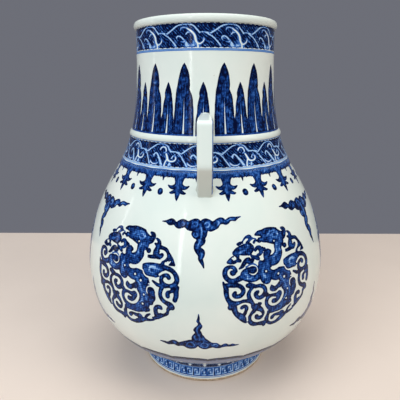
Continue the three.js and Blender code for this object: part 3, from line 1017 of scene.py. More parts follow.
# Thin pale lines drawn on the turning wheel below each wave border.
# They are a wash of cobalt, so they stay light blue.
thin_lines = ((0.4153, 2.4), (0.3186, 1.6))
thin_line_tone = 0.02
line_stretches = 12
line_turn = 2 * math.pi / line_stretches
line_margin = 1.4


def wheel_line(name, level, width, tone, waver=0.06):
    """A line or wash that runs all the way round at one level."""
    length = arc_at(level, line_turn)
    sheet = Drawing(length, height=width + line_margin, grain=0.9, middle=(length / 2, 0))
    wander = waver * np.sin(sheet.u * 2 * math.pi / length * 2)
    sheet.lay(width / 2 - np.abs(sheet.v - wander), tone)
    motif = sheet.skin(name + "_unit", level, radius_at(pot_outline, level))
    painted(name, motif, line_stretches, 0.0, line_turn)


for number, (level, width) in enumerate(thin_lines, start=1):
    wheel_line(f"thin_line_{number}", level, width, thin_line_tone)

# Upright plantain leaves on the neck, tall and short by turns.
# Each was filled with a loaded brush, darkest at the tip, around a bare midrib; at
# the foot the leaves touch, and a thin line closes them above the string.
leaf_base_level = 0.3284
leaf_turn = motif_turn + math.radians(0.6)
leaf_pairs = 7
leaf_handle_gap = math.radians(28.8)
leaf_step = (math.pi - leaf_handle_gap) / (leaf_pairs - 1)
leaf_pitch = arc_at(leaf_base_level, leaf_step)
tall_half = 11.95
short_half = leaf_pitch / 2 - tall_half
leaf_foot = -1.0
closing_line = -2.9
closing_line_tone = 0.42
leaf_edge_waver = 0.10
leaf_tone = 1.06
tip_darker = 0.45
tip_from = 0.55
beside_rib_paler = 0.16
rib_side_width = 0.24
streak_paler = 0.13
rib_paler = 0.7
tall_leaf = ((-tall_half, leaf_foot), (-tall_half, 13), (-11.7, 22), (-11.2, 31), (-10.8, 37),
             (-10.3, 42), (-9.7, 47), (-8.4, 52), (-7.3, 57), (-6.2, 62), (-4.5, 67), (-2.4, 71.4),
             (0, 74.6), (2.4, 71.6), (4.6, 67), (6.1, 62), (7.0, 57), (7.2, 52), (6.7, 47.5), (7.8, 45),
             (9.4, 41.5), (10.6, 36), (11.3, 28), (11.7, 20), (tall_half, 13), (tall_half, leaf_foot))
short_leaf = ((-short_half, leaf_foot), (-short_half, 14), (-7.2, 22), (-6.8, 29), (-5.8, 35),
              (-4.5, 39.6), (-4.8, 43), (-3.8, 47), (-2.2, 51), (0, 55.2), (2.2, 51), (3.8, 47),
              (5.1, 42.6), (5.2, 39.6), (6.2, 35), (7.0, 29), (7.3, 22), (short_half, 14),
              (short_half, leaf_foot))


def draw_leaf(sheet, middle, outline, height, rib):
    """One leaf: dark tip and edges, a streaky middle, and a bare rib that widens to the foot."""
    width = max(u for u, v in outline) - min(u for u, v in outline) + 3
    u, v = sheet.u - middle, sheet.v
    uneven_edge = leaf_edge_waver * np.sin(v * 0.5 + np.sign(u) * 1.3)
    shape = sheet.area([(a + middle, b) for a, b in outline]) + uneven_edge
    rise = v / height
    beside_rib = np.exp(-((u + 0.6) / (rib_side_width * width)) ** 2) * np.clip(1.35 - rise * 1.3, 0, 1)
    brushed = np.sin(u * 2.1 + 0.9 * np.sin(v * 0.11)) + 0.6 * np.sin(u * 4.3 + 1.3 * np.sin(v * 0.07))
    tone = leaf_tone + tip_darker * np.clip(rise - tip_from, 0, 1) - beside_rib_paler * beside_rib
    tone -= streak_paler * (0.4 + brushed) * np.clip(1.25 - rise, 0, 1) * np.clip(shape / 1.6, 0, 1)
    pale_rib = sheet.shape([(middle - 0.3, rib + 6, 0.2), (middle, rib - 4, 1.0),
                            (middle + 0.2, rib * 0.4, 2.0), (middle + 0.3, -3, 3.0)])
    tone -= rib_paler * np.clip(0.5 + pale_rib, 0, 1)
    sheet.tone = np.where(shape > -0.4, tone, sheet.tone)
    sheet.depth = np.maximum(sheet.depth, np.minimum(shape, deepest))
    sheet.spare([(middle, rib, 0.2), (middle + 0.1, rib * 0.7, 0.7), (middle + 0.2, rib * 0.3, 1.2),
                 (middle + 0.3, 0.4, 1.9)])


def draw_tall_leaf(sheet, middle=0):
    """A tall leaf, with its rib bare to half its height."""
    draw_leaf(sheet, middle, tall_leaf, height=75, rib=38)


def draw_short_leaf(sheet, middle=0):
    """A short leaf."""
    draw_leaf(sheet, middle, short_leaf, height=56, rib=33)


def leaves_round(name, sheet, count, start, step):
    """Repeats one sheet of leaves round the neck, over the thin line that closes it."""
    left, right = sheet.us[0] - 1, sheet.us[-1] + 1
    foot_line = ((left, closing_line), (right, closing_line), (right, leaf_foot), (left, leaf_foot))
    sheet.lay(sheet.area(foot_line), closing_line_tone)
    motif = sheet.skin(name + "_unit", leaf_base_level, radius_at(pot_outline, leaf_base_level))
    painted(name, motif, count, start, step)


for side, handle_at in (("right", 0), ("left", math.pi)):
    first_leaf = handle_at + leaf_turn + leaf_handle_gap / 2
    pair = Drawing(leaf_pitch, height=80, grain=0.8, middle=(short_half, 37))
    draw_tall_leaf(pair)
    draw_short_leaf(pair, middle=leaf_pitch / 2)
    leaves_round(f"paired_leaves_{side}", pair, leaf_pairs - 1, first_leaf, leaf_step)
    last = Drawing(2 * tall_half, height=80, grain=0.8, middle=(0, 37))
    draw_tall_leaf(last)
    leaves_round(f"last_leaf_{side}", last, 1, first_leaf + (leaf_pairs - 1) * leaf_step, leaf_step)
lone = Drawing(2 * short_half, height=62, grain=0.5, middle=(0, 28))
draw_short_leaf(lone)
leaves_round("short_leaves_behind_handles", lone, 2, motif_turn, math.pi)

# The ruyi border on the shoulder: a wash, a fringe of short dark strokes, and
# pendants that end in hooks, side lobes and a point, with a dot between each two.
# Their spacing was set by eye, a little wider where a handle stands.
pendant_level = 0.2720
pendant_middle_level = 0.2800
pendants_each_side = 9
handle_gap = math.radians(25.8)
pendant_step = (math.pi - handle_gap) / (pendants_each_side - 1)
pendant_pitch = arc_at(pendant_middle_level, pendant_step)
fringe_low = 12.5
fringe_high = 20.5
fringe_level = 0.2850
fringe_strand = 2.2
fringe_depth = 3
dot_drop = 0.0036
dot_light_middle = (0.5, 0.3)
dot_light_radius = 1.8
wheel_line("shoulder_wash", level=0.2885, width=4.6, tone=0.10, waver=0.3)
wheel_line("shoulder_line", level=0.2922, width=1.9, tone=-0.25)

half_stem = ((3.2, 14, 6.5), (2.4, 10, 5.4), (2.0, 5, 5.2), (1.4, 0, 6.0))
upper_hook = ((2.5, 4.5, 4.6), (5.6, 1.8, 5.2), (9.0, 2.0, 3.6), (11.6, 3.6, 1.6))
lower_lobe = ((1.5, -1.5, 4.6), (4.6, -3.4, 4.4), (7.6, -4.6, 2.9), (9.0, -4.2, 1.2))
middle_stem = ((0, 12, 7), (0, 4, 6), (0, -3, 6.4), (0, -7, 5.2), (0, -10.5, 3.2), (0.2, -13.2, 0.8))
stem_core = ((0, -6, 3.0), (0, -10, 2.2), (0.2, -12.4, 0.8))
stem_light = ((-0.6, 11, 0.6), (-0.4, 2, 0.9), (0.2, -5, 0.5))


def on_side(side, points):
    """A stroke as it is where side is 1, and its mirror image where side is -1."""
    return [(side * u, v, width) for u, v, width in points]


def pendant_unit():
    """One pendant with half an arch of the fringe on each side of it."""
    sheet = Drawing(pendant_pitch, height=40, grain=0.62, middle=(0, 3))
    u, v = sheet.u, sheet.v
    strands = np.sin(u * 2 * math.pi / fringe_strand + 0.8 * np.sin(u * 0.7))
    comb = 0.9 * strands + 0.5 * np.sin(u * 1.13)
    fringe = np.minimum(fringe_high - v, v - fringe_low - 0.5 * comb)
    sheet.lay(np.minimum(fringe, fringe_depth), tone=0.72)
    sheet.tone += 0.22 * np.clip((fringe_high - v) / 5 - 0.4, -1, 1) + 0.10 * comb
    end = pendant_pitch / 2
    arch = pendant_pitch / 4 + 1.3
    for side in (-1, 1):
        sheet.ink(on_side(side, half_stem), tone=0.80)
        sheet.ink(on_side(side, upper_hook), tone=0.86)
        sheet.ink(on_side(side, lower_lobe), tone=0.92)
        sheet.ink(on_side(side, ((end + 0.4, 15, 6.0), (end + 0.2, 11.5, 3.0), (end, 8.8, 1.0))), tone=0.9)
        sheet.spare(on_side(side, ((arch - 2.6, 7.2, 7.4), (arch, 8.2, 8.6), (arch + 2.4, 7.4, 7.8))))
        sheet.ink(on_side(side, upper_hook), tone=0.86)
    sheet.ink(middle_stem, tone=0.84)
    sheet.ink(stem_core, tone=1.0)
    sheet.shade(stem_light, strength=-0.30, core=0.5, fade=1)
    return sheet


ruyi_motif = pendant_unit().skin("ruyi_unit", pendant_level)
dot_sheet = Drawing(width=10, height=11, grain=0.5)
dot_sheet.ink([(0.2, -0.7, 6.6), (-0.2, 0.8, 6.4)], tone=0.95)
from_light = np.hypot(dot_sheet.u - dot_light_middle[0], dot_sheet.v - dot_light_middle[1])
dot_light = 1 - from_light / dot_light_radius
dot_sheet.tone -= 0.45 * np.clip(dot_light, 0, 1)
dot_motif = dot_sheet.skin("dot_unit", pendant_level - dot_drop)
first_pendant = motif_turn + handle_gap / 2
for side, start in (("right", first_pendant), ("left", math.pi + first_pendant)):
    painted(f"ruyi_border_{side}", ruyi_motif, pendants_each_side, start, pendant_step)
    painted(f"ruyi_dots_{side}", dot_motif, pendants_each_side - 1, start + pendant_step / 2, pendant_step)

# The fringe runs on behind each handle, where the pendants leave a wider gap.
gap_width = arc_at(fringe_level, handle_gap - pendant_step)
gap_sheet = Drawing(gap_width + 0.4, height=12, grain=0.5, middle=(0, 16))
gap_comb = 0.5 * np.sin(gap_sheet.u * 2 * math.pi / fringe_strand)
gap_sheet.lay(np.minimum(fringe_high - gap_sheet.v, gap_sheet.v - fringe_low - gap_comb), tone=0.8)
painted("fringe_behind_handles", gap_sheet.skin("fringe_gap_unit", pendant_level), 2, motif_turn, math.pi)

# Three-armed clouds between the medallions, six above and six upside down below.
# Each arm is a row of puffs that tapers to a wisp. The painter set the upper ones by
# eye, so each pair across the pot has its own slip, rise, width, depth and tilt.
clouds_round = 6
cloud_step = 2 * math.pi / clouds_round
upper_cloud_level = 0.2320
lower_cloud_level = 0.1120
cloud_width = 96
cloud_swell = 0.4
cloud_paler_to_right = 0.004
upper_cloud = (
    (-43, 9.3), (-39, 10.3), (-35.5, 11.9), (-32, 13.1), (-29, 11.7), (-27.3, 9.7), (-24, 11.9),
    (-20, 13.3), (-16.5, 12.3), (-14.3, 11.2), (-11, 12.9), (-7, 14.3), (-3.5, 13.7), (-1.6, 11.9),
    (0.4, 13.5), (4, 14.6), (8, 13.3), (11.3, 11.5), (15, 13.8), (19, 15.4), (22.5, 14.5), (24.5, 12.7),
    (27.5, 14.7), (31, 15.5), (36, 15.1), (41.5, 15.2), (38, 13.3), (35.5, 11.1), (32.5, 11.5),
    (30, 11.3), (28, 8.9), (25, 7.7), (22, 8.7), (19, 8.1), (17, 4.7), (13.5, 2.7), (9.5, 1.1),
    (6.4, 1.9), (5.6, -0.1), (5, -3.3), (3.4, -6.3), (3.8, -8.7), (2.4, -11.9), (-0.8, -14.7),
    (-0.4, -16.1), (2.2, -18.1), (3.3, -21.5), (2.4, -25.1), (1.2, -27.7), (2.2, -31.7), (2.5, -37.1),
    (0.2, -33.5), (-2.2, -30.3), (-3.5, -27.5), (-3.6, -24.3), (-6.2, -20.7), (-8, -16.5), (-7.4, -11.7),
    (-5.4, -7.7), (-8.4, -5.7), (-10.7, -2.1), (-10, 1.3), (-12.5, 1.6), (-15.5, 2.7), (-18, 4.9),
    (-21, 4.1), (-24.4, 3.3), (-27.5, 4.3), (-30, 6.9), (-33, 6.1), (-36, 6.3), (-38.5, 8.5),
)
lower_cloud = (
    (-3, 35.4), (-2, 30.4), (-2.2, 26.8), (-0.6, 23.4), (0.8, 20.4), (-0.2, 17.4), (-1.6, 15), (-0.2, 12),
    (0.6, 9), (2.6, 6.2), (4, 3.4), (7, 0.4), (10.4, -3), (13, -4.2), (16.8, -4.6), (19.6, -7.2),
    (21.4, -8.8), (24, -7), (27.2, -6.4), (29.6, -8.4), (32, -8.6), (34.6, -7.8), (37.6, -9.6),
    (41.8, -10.6), (37, -11.6), (32, -11.8), (27, -11.4), (23.5, -11.8), (20, -13.2), (16, -13),
    (12.4, -11.4), (9, -12.4), (6, -14), (2, -14.2), (-2, -11.8), (-4, -9.2), (-5.8, -11.6),
    (-8.4, -13.8), (-13, -14.5), (-17, -13), (-19.6, -10.8), (-23, -10.6), (-27, -11.6), (-30.4, -9.6),
    (-34, -10.2), (-37.5, -11.2), (-41, -10), (-47.5, -7.6), (-42, -7), (-38, -7.2), (-35, -4.6),
    (-31, -2.8), (-28, -3.6), (-25.4, -5.4), (-21.5, -3.6), (-17, -1.6), (-13, 0), (-10.6, 0.4),
    (-10.4, 5), (-8.2, 9), (-6.6, 11.4), (-8.4, 14.4), (-7.4, 17.6), (-4.6, 20.4), (-3.4, 23.4),
    (-5, 26.4), (-3.8, 31),
)
upper_dark = (
    [(-27, 9.6, 0.6), (-25.8, 7, 1.2), (-27.4, 4.6, 0.7)], [(-14.2, 11, 0.6), (-13, 7, 1.3),
                                                            (-16, 3.4, 0.7)],
    [(-1.6, 11.6, 0.6), (-2.4, 7, 1.3), (-6, 4, 1.3), (-10, 3.4, 0.8)], [(11.2, 11.4, 0.6), (13, 8, 1.2),
                                                                         (11, 3, 0.7)],
    [(24.4, 12.6, 0.5), (24.8, 10, 1.1), (21.6, 8.8, 0.6)], [(6, 1.8, 0.7), (2.6, 3.4, 1.2),
                                                             (0.8, 7, 0.8)],
    [(-5.4, -7.6, 0.6), (-2.6, -6.4, 1.2), (3.2, -8, 0.7)], [(-0.8, -15, 0.6), (-3.4, -17, 1.2),
                                                             (-7, -19, 0.7)],
)
upper_pale = (
    [(-2.4, 9, 0.5), (-0.8, 4, 1.2), (-0.2, -2, 1.4), (-1.6, -8, 1.2), (-3.8, -13, 1.4), (-4, -17, 0.8)],
    [(-5.6, -0.6, 0.8), (-4.2, -3, 1.1), (-6.2, -4.8, 1.1), (-8.4, -3.2, 0.8), (-7.6, -0.8, 0.6)],
    [(-10, 9, 0.7), (-7.4, 11, 1), (-4.6, 9.6, 1), (-5.4, 6.8, 0.9), (-8, 6.8, 0.6)],
    [(2.6, 8.2, 0.9), (4.6, 10.6, 1.2), (7.6, 9.4, 1.4), (7, 6, 1.6), (4.4, 5.4, 1.0)],
    [(16, 11.6, 0.8), (18.4, 10, 1.3), (16.2, 7, 0.8)], [(-21, 10, 0.6), (-18.4, 8, 0.9),
                                                         (-20.6, 6.6, 0.6)],
    [(26.6, 11.8, 0.6), (30, 13.2, 1), (33.6, 12.8, 0.6)], [(-1, -20, 0.5), (0, -23, 0.9),
                                                            (-0.8, -27, 0.5)],
)
lower_dark = (
    [(-4, -9.4, 0.6), (-3.6, -5, 1.2), (-6.6, -1.4, 1.1), (-10.4, 0, 0.6)], [(12.2, -11.4, 0.6),
                                                                             (9.6, -7, 1.2),
                                                                             (8, -2, 0.6)],
    [(-18.4, -11.6, 0.6), (-19.4, -7, 1.2), (-17.4, -2, 0.6)], [(-25.2, -5.6, 0.5), (-26.4, -8.6, 1),
                                                                (-24.6, -10.6, 0.5)],
    [(21.2, -9, 0.5), (19.2, -10.6, 1.1), (22, -12, 0.5)], [(-6.6, 11.2, 0.6), (-3.6, 9.6, 1.1),
                                                            (-2, 14.6, 0.6)],
)
lower_pale = (
    [(-3.4, 20.6, 0.5), (-4.8, 15, 0.9), (-3.6, 10, 0.8), (-1.8, 5, 1.0), (-2.4, 0, 0.6)],
    [(-7, 7.6, 0.5), (-7.8, 4, 1), (-6, 0.6, 0.6)], [(1, 6, 0.4), (3, 1, 0.8), (7, -2.4, 0.5)],
    [(-16.4, -7.6, 0.8), (-14.6, -4.4, 1.0), (-10.6, -4, 1.0), (-7.8, -7, 1.0), (-9, -10.6, 1.0),
     (-13, -11.4, 0.7)],
    [(-0.8, -7, 0.8), (1.4, -4.2, 1.0), (5.2, -4.8, 1.0), (7, -8, 1.0), (4.8, -11.2, 1.0),
     (0.8, -11.2, 0.7)],
    [(13.2, -7.4, 0.6), (15.6, -6.4, 0.9), (17.6, -8.4, 0.9), (16.4, -10.6, 0.6)],
    [(-33, -5.6, 0.5), (-30, -6, 0.8), (-31.4, -8.4, 0.5)],
)
upper_cloud_pairs = (
    # slip in degrees, rise in metres, widened by, deepened by, tilt
    (0, 0, 1.0, 1.0, 0),
    (-0.3, 0.0038, 1.05, 1.15, -0.085),
    (2.8, 0.0064, 1.0, 1.0, -0.03),
)


def cloud_sheet(outline, dark, pale, middle_v, height, widen=1.0, deepen=1.0, tilt=0.0):
    """One cloud, filled in, with its puffs divided by darker lines and curls left pale."""
    sheet = Drawing(cloud_width * widen, height=height, grain=0.7, middle=(-2, middle_v))

    def placed(points):
        return [(u * widen, v * deepen + tilt * u, *width) for u, v, *width in points]

    sheet.lay(sheet.blob(placed(outline)) + cloud_swell, tone=0.96)
    sheet.tone -= cloud_paler_to_right * sheet.u
    for stroke in dark:
        sheet.shade(placed(stroke), strength=0.30, core=0.6, fade=1.2)
    for stroke in pale:
        sheet.shade(placed(stroke), strength=-0.64, core=0.55, fade=1.1)
    return sheet


for pair, (slip, rise, widen, deepen, tilt) in enumerate(upper_cloud_pairs):
    name = f"upper_clouds_{pair + 1}"
    cloud = cloud_sheet(upper_cloud, upper_dark, upper_pale, middle_v=-10, height=68,
                        widen=widen, deepen=deepen, tilt=tilt)
    motif = cloud.skin(name + "_unit", upper_cloud_level + rise)
    painted(name, motif, 2, motif_turn + pair * cloud_step + math.radians(slip), math.pi)
cloud = cloud_sheet(lower_cloud, lower_dark, lower_pale, middle_v=10, height=58)
motif = cloud.skin("lower_clouds_unit", lower_cloud_level)
painted("lower_clouds", motif, clouds_round, motif_turn, cloud_step)

# Six round medallions on the belly, between the clouds: an old-style scrolling
# dragon, drawn as one thick body that curls through a ring of spiral tendrils.
# Each stroke is (u, v, width) in millimetres, from the medallion's middle.
medallion_level = 0.1803
brush_spread = 1.05
brush_bleed = 0.6
scale_pitch = 4.6
scale_contrast = 0.30
scales_start_inside = 1.2
scales_full_after = 1.5
medallion_pairs = (
    # angle of the first in degrees, and on to the second
    (30, 62),
    (150, 60),
    (270.6, 59.4),
)
dragon_strokes = (
    # head, with the hook behind it, and the snout on its left
    (0.95, [(-15.8, 48.2, 3), (-12, 49.4, 5.2), (-7, 48, 9), (-2, 47.6, 12), (4, 46.6, 13), (10, 45, 13),
            (15, 42.8, 12), (19, 42, 8)]),
    (0.85, [(-12, 43.4, 4.4), (-7, 42.6, 7), (-1, 42, 8), (5, 41, 9)]),
    (1.00, [(20.5, 42, 6), (22.5, 46, 4.5), (21.6, 48.8, 3.4), (18.6, 50, 2)]),
    (0.95, [(-3, 39, 2.4), (1, 38.4, 4), (6, 37.6, 6)]),
    # the neck, down from the head and curled in
    (0.95, [(13, 39, 11), (15, 36, 7)]),
    (0.86, [(11, 38, 11), (9.4, 33, 9.5), (9.5, 27, 10), (6.5, 20.5, 12), (0, 18.5, 12), (-5, 21.6, 10),
            (-6.8, 26, 7.4), (-4.8, 28.4, 6)]),
    (0.98, [(-4.4, 28.6, 5), (-2.6, 28, 4.4)]),
    # mane and ear at the upper left
    (0.95, [(-42.5, 31.5, 5.5), (-38.5, 33.5, 7.5), (-33, 34, 10.5), (-28, 34.6, 11.5),
            (-24.6, 35.6, 7.5)]),
    (0.95, [(-24.8, 38.6, 4), (-24.6, 36, 5)]),
    (0.85, [(-41, 30, 5), (-40.4, 26.4, 3), (-41.4, 24, 2.4)]),
    (0.95, [(-45.4, 28, 1.6), (-48.4, 24.6, 4), (-51.6, 22.6, 2.4)]),
    (0.90, [(-50, 22.4, 2.8), (-45.5, 22, 2.8), (-42, 23.6, 3), (-38.6, 23.4, 3.4)]),
    (0.70, [(-33, 42.4, 0.9), (-29, 46.4, 1.6), (-26, 47.4, 3), (-23.4, 47, 3.8), (-24.6, 43.6, 2.6),
            (-27.5, 41, 3)]),
    (0.60, [(-24.6, 43.4, 1.8), (-20, 45.4, 1.8), (-15.6, 45.6, 1.4)]),
    (0.80, [(-38, 40.6, 2.6), (-35, 41.8, 2.4), (-32.4, 42, 1.2)]),
    (0.80, [(-19.8, 40.6, 2.4), (-18, 42.6, 1.8), (-15.4, 42, 2), (-13, 41, 3), (-10.6, 42.6, 2)]),
    (0.85, [(-19.6, 32.2, 2.6), (-17.4, 34.4, 3.4), (-14.4, 34, 4.8), (-13, 31, 4.8), (-14, 28, 3.2),
            (-18, 27, 1.6)]),
    (1.00, [(-9.4, 33, 3.8), (-8.8, 31.4, 3.6)]),
    (1.00, [(-40.6, 14.8, 1), (-37, 17, 3.2), (-34, 20.5, 4.2), (-31, 23, 4.6), (-28.4, 24, 3.4)]),
    (1.00, [(-31, 22, 4), (-27.5, 20.8, 4.2), (-25, 22, 4), (-23.5, 24.5, 3.2)]),
    (0.90, [(-28, 28.2, 1), (-25.6, 29.4, 1.6), (-24.8, 26.5, 2), (-21.5, 25, 3), (-18.6, 23.6, 4),
            (-17.4, 23, 3.4)]),
    (0.75, [(-24.5, 27, 1.5), (-20, 26, 1.5), (-15.4, 26.8, 2.2), (-13, 29, 3.6)]),
    # tendril and shell on the left
    (0.90, [(-36, 6.5, 5.5), (-41, 4.6, 5.5), (-46, 2.8, 4.8), (-51, 3, 5), (-55.2, 6.4, 5),
            (-56.4, 11, 4.8), (-54.4, 15.5, 4.8), (-50, 17.4, 4), (-46.4, 16.2, 4.4), (-44.8, 13, 4.2),
            (-46, 10.8, 4.2), (-48.6, 11.2, 5.4)]),
    (0.82, [(-37, 6, 5), (-33.5, 7.5, 12), (-29, 7.2, 15), (-24.5, 6.5, 14), (-20.5, 4.5, 8)]),
    (1.00, [(-29.5, 13, 5), (-26, 12, 7.6), (-23, 11, 7.6)]),
    (0.30, [(-33, 16, 0.7), (-26, 18.5, 1.2), (-21.5, 16.8, 1.2), (-19.2, 12.6, 0.9)]),
    # the trunk of the body
    (0.88, [(-15.5, 18, 5), (-14, 15, 9), (-13.8, 11, 10.5), (-13, 6, 11), (-11.5, 1, 11),
            (-9.3, -1.4, 9.5)]),
    (0.88, [(-10.4, 18.4, 4.6), (-8, 13, 9), (-6, 8, 8)]),
    (0.84, [(-6, 5, 9), (2, 2, 12), (8, 2, 13), (14, -1, 16), (17, -6, 16), (18, -13, 16),
            (18.6, -20, 15.4), (18.6, -28, 14.4), (14.4, -33.5, 13), (8, -36, 11), (0, -37.4, 8),
            (-6, -35, 5.4), (-9.8, -30, 4.6), (-10.4, -25, 4.6), (-8.2, -21.4, 4.6), (-4, -20, 4.6),
            (2, -20.8, 4.6)]),
    (0.85, [(1, -20.8, 5), (6.2, -21.2, 7), (5.6, -25, 6), (2.6, -28.2, 5), (-1.2, -27.8, 5.4)]),
    (0.95, [(-3.2, -9.6, 3.4), (-4, -12.6, 4.6), (-0.2, -13.6, 6), (4.4, -12.6, 6), (9, -9, 6)]),
    (0.95, [(20.4, -4, 5), (22.6, -3.4, 3)]),
    # the leaf that crosses the body, and the fin below it
    (0.80, [(16.6, 14, 4), (21, 11.4, 11.5), (26, 10.8, 14.6), (31, 11, 14.4), (36, 13.4, 9.6),
            (40, 15, 5)]),
    (1.00, [(25.6, -11.6, 5), (28, -11.4, 5.4), (29.4, -14, 5.4)]),
    (0.95, [(28.2, -15.4, 7), (28.6, -20.6, 8.4), (26.8, -25.4, 7.4)]),
    # tendrils at the upper right
    (1.00, [(17.8, 30.8, 4.6), (19.6, 30.5, 5)]),
    (0.95, [(26.5, 44.6, 1.6), (28.8, 43, 2.8), (30.4, 40.5, 3.8), (30, 37.4, 5.8), (32, 35, 5.6)]),
    (0.95, [(25.8, 39, 1.8), (28.5, 37.5, 3)]),
    (0.95, [(31, 37, 3.4), (35, 35.6, 3.6), (39, 34.2, 4), (42, 30.8, 3.4), (44.4, 27.5, 4.2)]),
    (0.90, [(29.4, 33.4, 6), (28.8, 29.5, 7), (30.6, 26.4, 5.6), (34, 26, 4.8), (35.6, 28, 4)]),
    (0.90, [(20, 24.6, 2.8), (23, 24.6, 3.4), (28, 25.2, 4)]),
    (0.95, [(44, 27, 4), (45.6, 25, 5.4), (48.6, 21.4, 3.8), (51, 18.8, 1.8)]),
    (0.95, [(50.4, 19, 1.8), (46, 19, 2)]),
    (0.90, [(42.4, 24.4, 3.4), (38.6, 20.6, 3.4), (37.4, 18.4, 3.4)]),
    (0.92, [(37, 15.8, 5), (43, 15, 4.6), (48.5, 13, 4.8), (53.5, 8.5, 5), (55.8, 3, 4.8),
            (53.6, -2, 5.2), (48.5, -4.2, 4.8), (43, -3.8, 5), (39.4, -1, 4.6), (38.4, 2.6, 4),
            (40.2, 6.2, 3.8), (44.2, 7.4, 4.2), (46.8, 5, 4.2)]),
    # tendrils at the lower right
    (0.95, [(28.8, -1, 1.8), (31.6, -2.6, 2.6), (35, -4.4, 3.6), (39, -4.6, 4)]),
    (0.92, [(40.4, -5, 5), (38.8, -10, 4.2), (38.4, -15, 4), (40.6, -19.8, 4.2), (44.8, -22.8, 4.6),
            (50, -25.2, 5.6), (52, -28, 5.6)]),
    (0.92, [(57.4, -4.4, 3), (56, -9, 5), (56.2, -14, 5), (55, -19, 4.6)]),
    (0.92, [(53.4, -7.6, 5), (49, -9.8, 4), (46.8, -12.4, 4.4), (47, -15.4, 4.4)]),
    (0.92, [(50.4, -27, 5), (47.2, -31.6, 3.6), (46, -36, 3.6), (42.4, -38, 4.4), (38, -40, 5.4),
            (34.5, -42, 6)]),
    (0.92, [(33.4, -39, 5), (32.8, -33.6, 4.6), (34.6, -30, 4.4), (38, -29.6, 4.6), (39.6, -31, 3)]),
    (0.92, [(33.5, -43, 4.6), (30.4, -45.4, 3), (29.2, -44.6, 2)]),
    (0.95, [(23.6, -35.6, 4.6), (20, -37, 5)]),
    (0.90, [(19.6, -46.2, 2.2), (22, -43.4, 2.8), (25.4, -41, 1.6)]),
    # tendrils along the bottom
    (0.88, [(-7.5, -40.6, 4.4), (-9.2, -45.5, 5), (-8.2, -50.5, 5), (-4.4, -54.8, 4.8), (1.2, -56.8, 4.8),
            (7, -55.2, 5.2), (12.5, -52.4, 5.8), (18.5, -49.4, 4.4), (24, -49, 2.8), (29.4, -47.4, 2)]),
    (0.88, [(-1.6, -48.8, 5), (1.6, -46.4, 3.6), (7, -46.4, 5), (12, -47.2, 6), (13, -50, 6)]),
    (0.80, [(-4, -39.8, 5), (3, -40.6, 4), (11, -39.4, 5)]),
    (0.90, [(-29.6, -8.6, 2.6), (-32.2, -13.5, 4), (-31.4, -18.6, 4.2), (-28.8, -24, 4.6),
            (-26.6, -29, 5), (-25, -33, 5), (-28.2, -38, 4.6), (-30.4, -43, 4.6), (-29, -48.2, 4.8),
            (-25, -51.6, 4.8), (-18.5, -52.4, 4.4), (-13, -53, 5.4), (-8, -52, 5)]),
    (0.90, [(-11.8, -56, 3.6)]),
    (0.90, [(-23.6, -29.2, 6), (-21, -31.8, 6.4), (-17.4, -34.5, 4.8), (-14.2, -38.4, 4.4),
            (-14.8, -42.6, 4.6), (-18, -44.8, 4.6), (-21.8, -43.4, 4.4), (-22.4, -41.4, 4)]),
    (0.95, [(-20.6, -26.2, 1.8), (-18.4, -27.4, 3.2)]),
    # tendrils at the lower left
    (0.92, [(-59, 2, 1.6), (-58.2, -1, 3), (-56.6, -5, 5), (-56.6, -10.5, 5), (-54.6, -17, 5.4),
            (-51, -22.4, 6.4), (-52.4, -26.6, 6)]),
    (0.92, [(-52, -22, 6), (-46, -22.4, 5), (-40.6, -21, 4), (-36, -21, 3.4), (-31.4, -21.6, 5)]),
    (0.90, [(-49, -25.4, 6), (-47.6, -31, 5.8), (-44.6, -35.8, 6), (-40, -40, 7), (-36.6, -44.2, 5.4),
            (-34.6, -47, 2.8)]),
    (0.95, [(-40, -28.2, 3.8), (-37.4, -26.6, 3.6), (-34.8, -29, 3.8), (-35.2, -33.4, 3.6),
            (-37, -37, 4)]),
    (0.90, [(-56, -1.4, 4), (-49, -2, 4.6), (-43.6, -2.6, 4.4), (-39.4, -5.6, 4.4), (-38, -10, 4.4),
            (-40.8, -13.8, 4.6), (-45.4, -14.8, 4.6), (-48.2, -12.6, 4.6), (-47.2, -10.4, 3.6)]),
    (0.98, [(-33, -4, 4), (-30, -4.4, 5.6), (-28, -6, 4.8), (-29.2, -9, 2.6)]),
    (0.90, [(-27, -5, 4.2), (-23.4, -6.4, 3.8), (-18, -6.6, 4), (-14, -8.8, 4.2), (-12.2, -13, 4.4),
            (-14, -17.4, 5.2), (-18.6, -20, 4.4), (-22.4, -18.4, 4.4), (-24, -15, 4.4), (-22, -13, 4.4)]),
    (0.95, [(-13, -17, 5.4), (-10.4, -18.4, 4.6)]),
)
